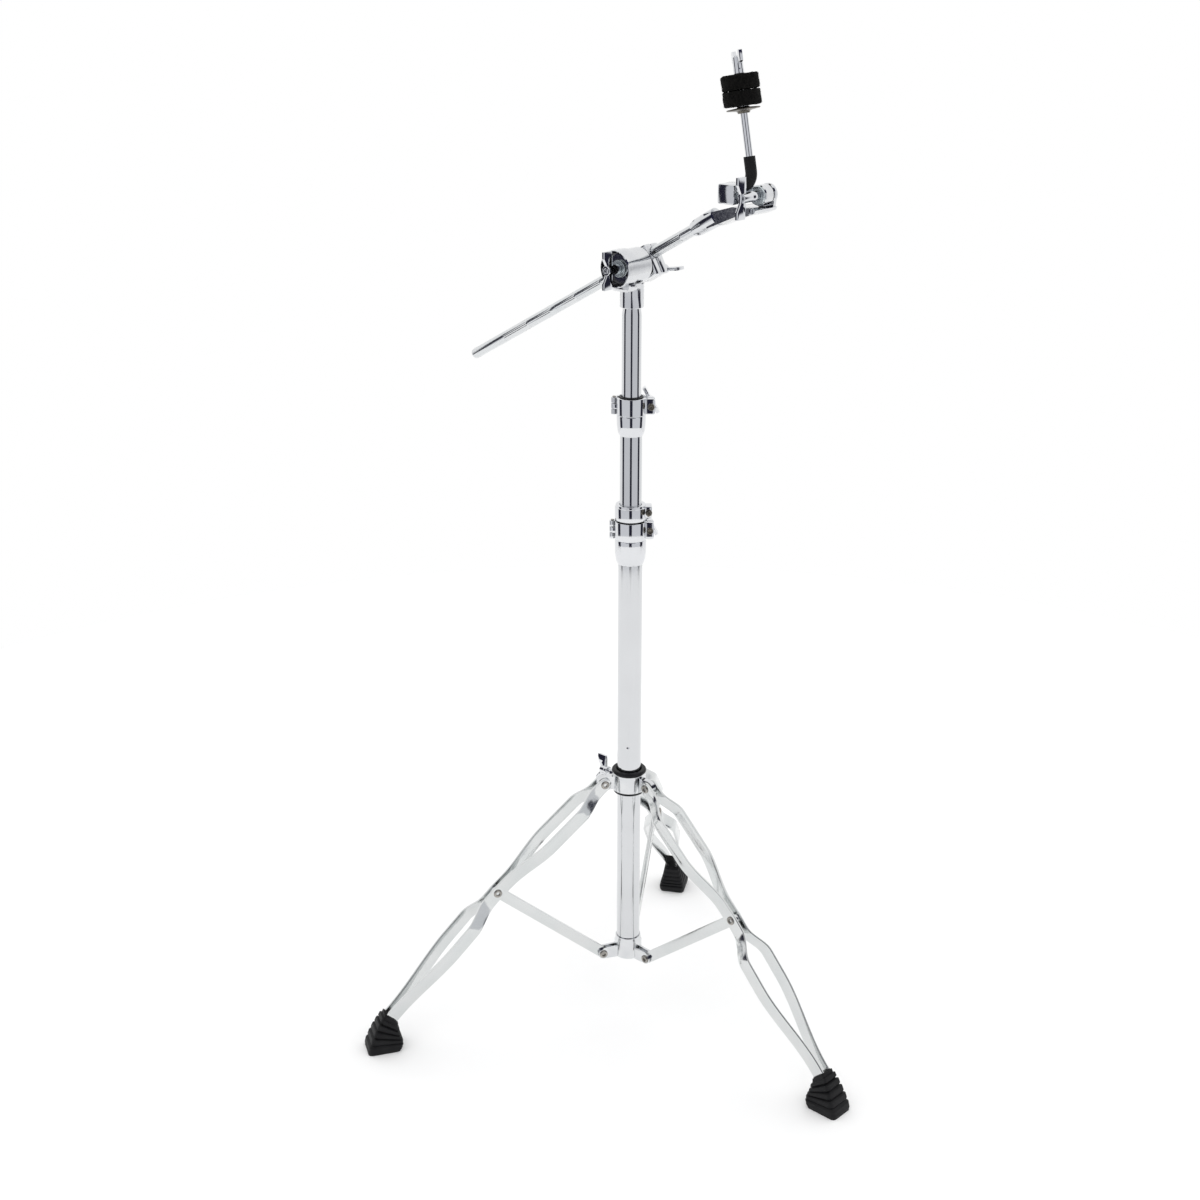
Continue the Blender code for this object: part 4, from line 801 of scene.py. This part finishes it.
    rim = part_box(name + "_bush")[1].z - low.z
    bush_profile = [(bush_outer, rim), (bush_outer, cup + GAP), (bush, cup + GAP), (bush, rim)]
    piece(name + "_bush_detail", [turned(bush_profile, place, 0.6 * MM, 96)], "nylon", body, name + "_bush")


def memory_lock():
    """The split ring on the middle tube, with its boss and square-headed key screw."""
    low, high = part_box("memory_lock")
    height = high.z - low.z
    inner = MIDDLE_RADIUS + GAP
    outer = inner + 5.4 * MM
    axis = joint_at("memory_lock_screw_turn")
    place = column(low.z)
    profile = [
        (outer - 0.9 * MM, height), (outer - 0.9 * MM, height - 2.4 * MM), (outer, height - 3 * MM),
        (outer, 0), (inner, 0), (inner, height),
    ]
    boss_place = place @ shifted(outer + 1.8 * MM, 0, axis.z - low.z)
    shapes = [turned(profile, place, 0.8 * MM, 96),
              block((9 * MM, 15 * MM, height - 4 * MM), boss_place, 1.6 * MM)]
    piece("memory_lock_detail", shapes, "chrome", "lock_ring", "memory_lock")
    screw = frame_at(axis, (0, -1, 0), UP)
    head_place = screw @ shifted(0, 0, 4 * MM) @ Matrix.Rotation(0.5, 4, "Z")
    key = [disc(3.9 * MM, 0, 2.2 * MM, screw, 0.4 * MM, 40),
           block((5.2 * MM, 5.2 * MM, 6 * MM), head_place, 0.6 * MM),
           disc(BOLT_RADIUS * 0.9, -13 * MM, 1 * MM, screw)]
    piece("memory_lock_screw_detail", key, "dark_steel", "lock_screw", "memory_lock_screw")


# ---------------------------------------------------------------- boom tilter and boom rod

CENTRE = joint_at("boom_tilt")
TILT_AXIS = joint_axis("boom_tilt")
FORWARD = UP.cross(TILT_AXIS)
BOOM = joint_axis("boom_rod_reach")
BOOM_PLACE = frame_at(CENTRE, TILT_AXIS, BOOM)
ROD_OFFSET = 26 * MM
ROD_ABOVE_AXIS = 6.3 * MM
ROD_TAIL = 310 * MM
ROD_HEAD = 104 * MM
ROD_PLACE = frame_at(BOOM_PLACE @ Vector((0, ROD_ABOVE_AXIS, -ROD_OFFSET)), BOOM, TILT_AXIS)


def boom_tilter():
    keep("tilter_base", "cast")
    keep("tilter_rotor", "cast")
    keep("rod_clamp_jaw", "cast")
    recess = 22 * MM
    # The black nylon ring here is painted shade: it darkens the wall of the housing's recess where shade
    # falls, and the real housing has no such ring.
    recess_shade = [(18.25 * MM, 28.6 * MM), (18.25 * MM, recess + 0.02 * MM), (16.6 * MM, recess + 0.02 * MM),
             (17.1 * MM, recess + 1 * MM), (17.5 * MM, 28.6 * MM)]
    piece("tilter_recess_painted_shade", [turned(recess_shade, BOOM_PLACE, 0.2 * MM)], "nylon", "boom_tilter")
    # These black nylon rings are painted shade, not seals. This first one fills the thin gap between the
    # housing and the rotor, where that gap falls dark.
    front_gap_shade = [
        (19.62 * MM, 11.6 * MM), (19.62 * MM, 10.5 * MM), (18 * MM, 10.5 * MM), (18 * MM, 11.6 * MM),
    ]
    # Painted shade: a black ring in the neck gap between the rotor's back face and the jaw, drawn as a dark
    # crescent.
    back_gap_shade = [
        (17.6 * MM, -12.2 * MM), (17.6 * MM, -14.7 * MM), (13 * MM, -14.7 * MM), (13 * MM, -12.2 * MM),
    ]
    gap_shades = [turned(front_gap_shade, BOOM_PLACE, 0.1 * MM), turned(back_gap_shade, BOOM_PLACE, 0.3 * MM)]
    piece("tilter_rotor_painted_gap_shade", gap_shades, "nylon", "boom_clamp")
    washer = [(9.6 * MM, 2 * MM), (10 * MM, 1.2 * MM), (10 * MM, 0), (3.3 * MM, 0), (3.3 * MM, 2 * MM)]
    piece("tilt_washer_detail", [turned(washer, BOOM_PLACE @ shifted(0, 0, recess + GAP), 0.4 * MM)], "zinc",
          "tilt_bolt", "tilt_washer")
    bolt = frame_at(joint_at("tilt_bolt_turn"), TILT_AXIS, BOOM)
    tilt = math.asin(BOOM.z)
    wing_bolt("tilt_wing_bolt", "tilt_bolt", bolt, 30 * MM, 20 * MM, -1 * MM, 42 * MM, 90 * DEG - tilt)
    back_face = joint_at("rod_bolt_turn") + TILT_AXIS * 0.55 * MM
    back = frame_at(back_face, TILT_AXIS, BOOM) @ Matrix.Rotation(math.pi, 4, "X")
    wing_bolt("rod_wing_bolt", "rod_bolt", back, 19 * MM, 14 * MM, 3 * MM, 40 * MM, 22 * DEG)


def boom_rod():
    """A bar with fine lengthwise flutes, broken by plain bands, and a plain rounded tail."""
    flutes = 14
    columns = flutes * 12
    plain_tail = 62 * MM
    bands = [-ROD_TAIL + plain_tail + step * 44 * MM for step in range(0, 8)]
    widths = [2 * MM, 2.5 * MM, 9 * MM]
    depth = 0.2 * MM
    ease_length = 0.5 * MM

    def fluting(s):
        """How deep the flutes are at this place along the rod, from 0 to 1."""
        value = ease((s - (-ROD_TAIL + plain_tail)) / ease_length)
        for i, start in enumerate(bands[1:]):
            band = widths[(i + 1) % 3]
            value *= 1 - ease((s - start) / ease_length) * (1 - ease((s - start - band) / ease_length))
        return value

    stops = {
        -ROD_TAIL, -ROD_TAIL + 0.3 * MM, -ROD_TAIL + 1 * MM, -ROD_TAIL + 2.4 * MM,
        ROD_HEAD - 0.8 * MM, ROD_HEAD,
    }
    for i, start in enumerate(bands):
        for edge in (start, start + widths[i % 3]):
            stops |= {edge + ease_length * k / 3 for k in range(4)}
    loops = []
    for s in sorted(stops):
        from_tail = s + ROD_TAIL
        nose = min(1.0, from_tail / (2.4 * MM))
        radius = ROD_RADIUS - 1.6 * MM * (1 - math.sqrt(max(0.0, 1 - (1 - nose) ** 2)))
        radius -= max(0.0, s - ROD_HEAD + 0.8 * MM)
        loop = []
        for i in range(columns):
            angle = 2 * math.pi * i / columns
            groove = 0.5 - 0.5 * math.cos(flutes * angle)
            r = radius - depth * fluting(s) * groove
            loop.append((r * math.cos(angle), r * math.sin(angle), s))
        loops.append(loop)
    piece("boom_rod_detail", [moved(skin(loops), ROD_PLACE)], "rod", "boom", "boom_rod")


# ---------------------------------------------------------------- cymbal tilter and post

CYMBAL_PLACE = frame_at(joint_at("cymbal_tilt"), TILT_AXIS, FORWARD)
LEAN = joint_axis("cymbal_nut_turn")
NUT_PLACE = frame_at(joint_at("cymbal_nut_turn") - LEAN * 8.1 * MM, LEAN, TILT_AXIS)  # at the nut's foot
ROD_TIP = 18.1 * MM  # above the nut's foot
CHEEK_OFFSET = 26 * MM
CHEEK_THICKNESS = 5 * MM


def rod_line():
    """The bent rod in the cymbal tilter's frame, and the share of it that its rubber sleeve covers."""
    start = Vector((-24 * MM, 3 * MM))
    first = Vector((math.cos(28 * DEG), math.sin(28 * DEG)))
    last = Vector((math.sin(-11 * DEG), math.cos(-11 * DEG)))
    corner = start + first * 27 * MM
    reach = 11 * MM
    a = corner - first * reach
    b = corner + last * reach
    bend = [a * (1 - t) ** 2 + corner * 2 * t * (1 - t) + b * t ** 2 for t in [i / 24 for i in range(25)]]
    tip = corner + last * 128 * MM
    return [start] + bend + [tip], bend + [bend[-1] + last * 15 * MM], last


def felt(name, low, seed):
    """A disc of pressed wool: slightly uneven faces and sides, with loose fibres standing off it."""
    inner = CYMBAL_ROD_RADIUS + GAP
    corners = [(FELT_RADIUS, FELT_HEIGHT), (FELT_RADIUS, 0), (inner, 0), (inner, FELT_HEIGHT)]
    section = rounded(corners, 2.2 * MM)
    line = []
    for a, b in zip(section, section[1:] + section[:1]):
        count = max(1, round((b - a).length / (0.9 * MM)))
        line += [a + (b - a) * i / count for i in range(count)]
    steps = 128
    place = NUT_PLACE @ shifted(0, 0, low)
    shape = skin([circle(r, z, steps) for r, z in line], True)
    shape.normal_update()
    offset = Vector((seed * 7.3, seed * 3.1, 0))
    for vertex in shape.verts:
        radius = math.hypot(vertex.co.x, vertex.co.y)
        outside = ease((radius - inner - 1 * MM) / (3 * MM))
        coarse = noise.noise(vertex.co * 180 + offset)
        fine = noise.noise(vertex.co * 620 + offset)
        vertex.co += vertex.normal * (coarse * 0.75 + fine * 0.45 - 0.35) * MM * outside
    chance = random.Random(seed)
    fibre_count = 1500
    fibres = []
    for _ in range(fibre_count):
        angle = chance.uniform(0, 2 * math.pi)
        height = chance.uniform(0.8 * MM, FELT_HEIGHT - 0.8 * MM)
        root = Vector((FELT_RADIUS * math.cos(angle), FELT_RADIUS * math.sin(angle), height))
        out = Vector((math.cos(angle), math.sin(angle), chance.uniform(-0.7, 0.7)))
        side = Vector((-math.sin(angle), math.cos(angle), 0))
        lean = (out + side * chance.uniform(-1.2, 1.2)).normalized()
        length = chance.uniform(0.5, 1.5) * MM
        base = root - lean * 0.9 * MM
        across = side * 0.10 * MM
        above = Vector((0, 0, 0.10 * MM))
        fibres.append((base + across, base - across, base + above, root + lean * length))
    for corners in fibres:
        made = [shape.verts.new(p) for p in corners]
        for a, b, c in ((0, 2, 1), (0, 1, 3), (1, 2, 3), (2, 0, 3)):
            shape.faces.new((made[a], made[b], made[c]))
    obj = piece(name + "_detail", [moved(shape, place)], "felt", "cymbal_post", name)


def cymbal_tilter():
    keep("cymbal_tilter_body", "cast")
    keep("cymbal_holder", "cast")
    line, sleeve, last = rod_line()
    flat = [(p.x, p.y, 0) for p in line]
    bar_end = len(flat) - 1
    thread_length = 34 * MM
    below = line[-1] - last * thread_length
    flat[bar_end] = (below.x, below.y, 0)
    thread_foot = ROD_TIP - thread_length - 0.5 * MM
    shapes = [swept(flat, CYMBAL_ROD_RADIUS, CYMBAL_PLACE)]
    shapes.append(thread(CYMBAL_ROD_RADIUS, thread_foot, ROD_TIP, NUT_PLACE, 1.25 * MM, 32))
    piece("cymbal_rod_detail", shapes, "chrome", "cymbal_post", "cymbal_rod")
    piece("rod_sleeve_detail", [swept([(p.x, p.y, 0) for p in sleeve], SLEEVE_RADIUS, CYMBAL_PLACE, 40,
                                      CYMBAL_ROD_RADIUS + 0.25 * MM)], "rubber", "cymbal_post", "rod_sleeve")

    seat_low = -39.9 * MM
    bore = CYMBAL_ROD_RADIUS + GAP
    seat = [
        (bore + 2.3 * MM, seat_low + 7 * MM), (bore + 2.3 * MM, seat_low + 6 * MM),
        (17.4 * MM, seat_low + 5 * MM), (18 * MM, seat_low + 4.4 * MM), (17.6 * MM, seat_low + 3.6 * MM),
        (8 * MM, seat_low + 2.4 * MM), (6.6 * MM, seat_low + 1.6 * MM), (6.4 * MM, seat_low),
        (bore, seat_low), (bore, seat_low + 7 * MM),
    ]
    piece("cymbal_seat_detail", [turned(seat, NUT_PLACE, 0.5 * MM, 96)], "dark_steel", "cymbal_post",
          "cymbal_seat")
    felt("upper_felt", -FELT_HEIGHT - GAP, 3)
    felt("lower_felt", -2 * (FELT_HEIGHT + GAP), 8)

    turned_nut = NUT_PLACE @ Matrix.Rotation(48 * DEG, 4, "Z")
    boss = 17 * MM
    nut_section = [
        (5.4 * MM, boss), (5.4 * MM, 6 * MM), (5.6 * MM, 4 * MM), (5.6 * MM, 0), (bore, 0), (bore, boss),
    ]
    nut = [turned(nut_section, turned_nut, 0.5 * MM, 48)]
    start = boss - WING_LENGTH * 0.62 + 1 * MM
    upright = turned_nut @ shifted(0, 0, start) @ Matrix.Rotation(90 * DEG, 4, "X")
    for sign in (1, -1):
        outline = rounded([
            (sign * 4.6 * MM, 0), (sign * 12 * MM, 0.05 * WING_LENGTH), (sign * 22 * MM, 0.2 * WING_LENGTH),
            (sign * 21.4 * MM, WING_LENGTH), (sign * 13 * MM, WING_LENGTH),
            (sign * 10 * MM, 0.62 * WING_LENGTH), (sign * 4.6 * MM, 0.5 * WING_LENGTH),
        ], 1.0 * MM)
        nut.append(plate(outline, WING_THICKNESS, upright, 0.9 * MM, segments=3))
    piece("cymbal_wing_nut_detail", nut, "chrome", "cymbal_nut", "cymbal_wing_nut")

    face = -CHEEK_OFFSET + 15 * MM + GAP
    washer = [(9.6 * MM, 2.5 * MM), (10 * MM, 1.6 * MM), (10 * MM, 0), (3.3 * MM, 0), (3.3 * MM, 2.5 * MM)]
    piece("cymbal_tilt_washer_detail", [turned(washer, CYMBAL_PLACE @ shifted(0, 0, face), 0.4 * MM)], "zinc",
          "cymbal_tilt_bolt", "cymbal_tilt_washer")
    boss_foot = joint_at("cymbal_tilt_bolt_turn") + TILT_AXIS * 0.3 * MM
    bolt = frame_at(boss_foot, TILT_AXIS, FORWARD)
    shaft = (boss_foot - joint_at("cymbal_tilt")).dot(TILT_AXIS) + CHEEK_OFFSET + CHEEK_THICKNESS + 4 * MM
    wing_bolt("cymbal_tilt_wing_bolt", "cymbal_tilt_bolt", bolt, shaft, 27 * MM, 2 * MM, 44 * MM, 90 * DEG)
    cap = CYMBAL_PLACE @ shifted(0, 0, -CHEEK_OFFSET - CHEEK_THICKNESS - GAP)
    hexagon = [(4.9 * MM * math.cos(i * 60 * DEG), 4.9 * MM * math.sin(i * 60 * DEG)) for i in range(6)]
    shapes = [plate(rounded(hexagon, 0.3 * MM), 4.2 * MM, cap @ shifted(0, 0, -2.3 * MM), 0.5 * MM,
                    [((0, 0), BOLT_RADIUS + GAP)])]
    piece("cymbal_tilt_nut_detail", shapes, "rivet", "cymbal_tilter", "cymbal_tilt_nut")


# ---------------------------------------------------------------- floor, light and camera

def stage():
    """A large pale floor that the tent lights evenly."""
    shape = bmesh.new()
    bmesh.ops.create_circle(shape, cap_ends=True, segments=96, radius=1.7)
    mesh = bpy.data.meshes.new("floor")
    shape.to_mesh(mesh)
    shape.free()
    floor = bpy.data.objects.new("floor", mesh)
    bpy.context.scene.collection.objects.link(floor)
    paint = bpy.data.materials.new("floor_paint")
    paint.use_nodes = True
    tree = paint.node_tree
    shader = tree.nodes["Principled BSDF"]
    shader.inputs["Roughness"].default_value = 0.9
    shader.inputs["Specular IOR Level"].default_value = 0.0
    tree.links.new(ramp(tree, grain(tree, 3.0), (0.3, (0.93, 0.93, 0.93)), (0.7, (0.95, 0.95, 0.95))),
                   shader.inputs["Base Color"])
    floor.data.materials.append(paint)


def step(tree, value, edge, softness):
    """0 below the edge and 1 above it, eased over the softness."""
    made = node(tree, "MapRange")
    made.interpolation_type = "SMOOTHSTEP"
    made.inputs["From Min"].default_value = edge - softness / 2
    made.inputs["From Max"].default_value = edge + softness / 2
    tree.links.new(value, made.inputs["Value"])
    return made.outputs["Result"]


def combined(tree, operation, first, second):
    made = node(tree, "Math")
    made.operation = operation
    for socket, value in zip(made.inputs, (first, second)):
        if isinstance(value, (int, float)):
            socket.default_value = value
        else:
            tree.links.new(value, socket)
    return made.outputs["Value"]


def within(tree, value, low, high, softness):
    return combined(tree, "SUBTRACT", step(tree, value, low, softness), step(tree, value, high, softness))


def mixed(tree, share, first, second):
    made = node(tree, "Mix")
    made.data_type = "RGBA"
    tree.links.new(share, made.inputs["Factor"])
    for socket, value in ((made.inputs["A"], first), (made.inputs["B"], second)):
        target = [s for s in made.inputs if s.name == socket.name and s.type == "RGBA"][0]
        if isinstance(value, tuple):
            target.default_value = (*value, 1)
        else:
            tree.links.new(value, target)
    return [s for s in made.outputs if s.type == "RGBA"][0]


def light_tent():
    """White, with grey sides towards the camera and dark gaps in front, at both sides and above it."""
    world = bpy.data.worlds.new("light_tent")
    world.use_nodes = True
    bpy.context.scene.world = world
    tree = world.node_tree
    background = tree.nodes["Background"]
    coords = node(tree, "TexCoord")
    split = node(tree, "SeparateXYZ")
    tree.links.new(coords.outputs["Generated"], split.inputs["Vector"])
    x, y, z = split.outputs
    ahead = combined(tree, "MULTIPLY", y, -1.0)
    turn = combined(tree, "ABSOLUTE", combined(tree, "ARCTAN2", x, ahead), 0.0)

    low_enough = combined(tree, "SUBTRACT", 1.0, step(tree, z, 0.62, 0.25))
    front = combined(tree, "SUBTRACT", 1.0, step(tree, turn, 100 * DEG, 16 * DEG))
    grey = combined(tree, "MULTIPLY", front, low_enough)
    colour = mixed(tree, grey, (1.0, 1.0, 1.0), (0.72, 0.73, 0.76))
    middle_gap = combined(tree, "SUBTRACT", 1.0, step(tree, turn, 10 * DEG, 4 * DEG))
    side_gap = within(tree, turn, 75 * DEG, 98 * DEG, 5 * DEG)
    gaps = combined(tree, "MAXIMUM", middle_gap, side_gap)
    gaps = combined(tree, "MULTIPLY", gaps, low_enough)
    colour = mixed(tree, gaps, colour, (0.02, 0.02, 0.035))
    above_camera = within(tree, z, 0.36, 0.74, 0.08)
    facing = combined(tree, "SUBTRACT", 1.0, step(tree, turn, 38 * DEG, 16 * DEG))
    patch = combined(tree, "MULTIPLY", above_camera, facing)
    colour = mixed(tree, patch, colour, (0.012, 0.012, 0.045))
    path = node(tree, "LightPath")
    colour = mixed(tree, path.outputs["Is Diffuse Ray"], colour, (1.2, 1.2, 1.2))
    colour = mixed(tree, path.outputs["Is Camera Ray"], colour, (1.0, 1.0, 1.0))
    tree.links.new(colour, background.inputs["Color"])


def camera():
    data = bpy.data.cameras.new("camera")
    data.lens = 54.68
    data.sensor_width = 36.0
    holder = bpy.data.objects.new("camera", data)
    holder.location = (0.0, -2.0191, 1.3110)
    holder.rotation_euler = (69.52 * DEG, 0.0, 1.009 * DEG)
    bpy.context.scene.collection.objects.link(holder)
    bpy.context.scene.camera = holder


def main():
    camera()
    light_tent()
    stage()
    bpy.context.scene.view_settings.view_transform = "Standard"
    tripod()
    tubes()
    collar("base", "stand_base", "base_clamp_nut", BASE_RADIUS, MIDDLE_RADIUS)
    collar("middle", "middle_section", "middle_clamp_nut", MIDDLE_RADIUS, UPPER_RADIUS)
    memory_lock()
    boom_tilter()
    boom_rod()
    cymbal_tilter()


main()
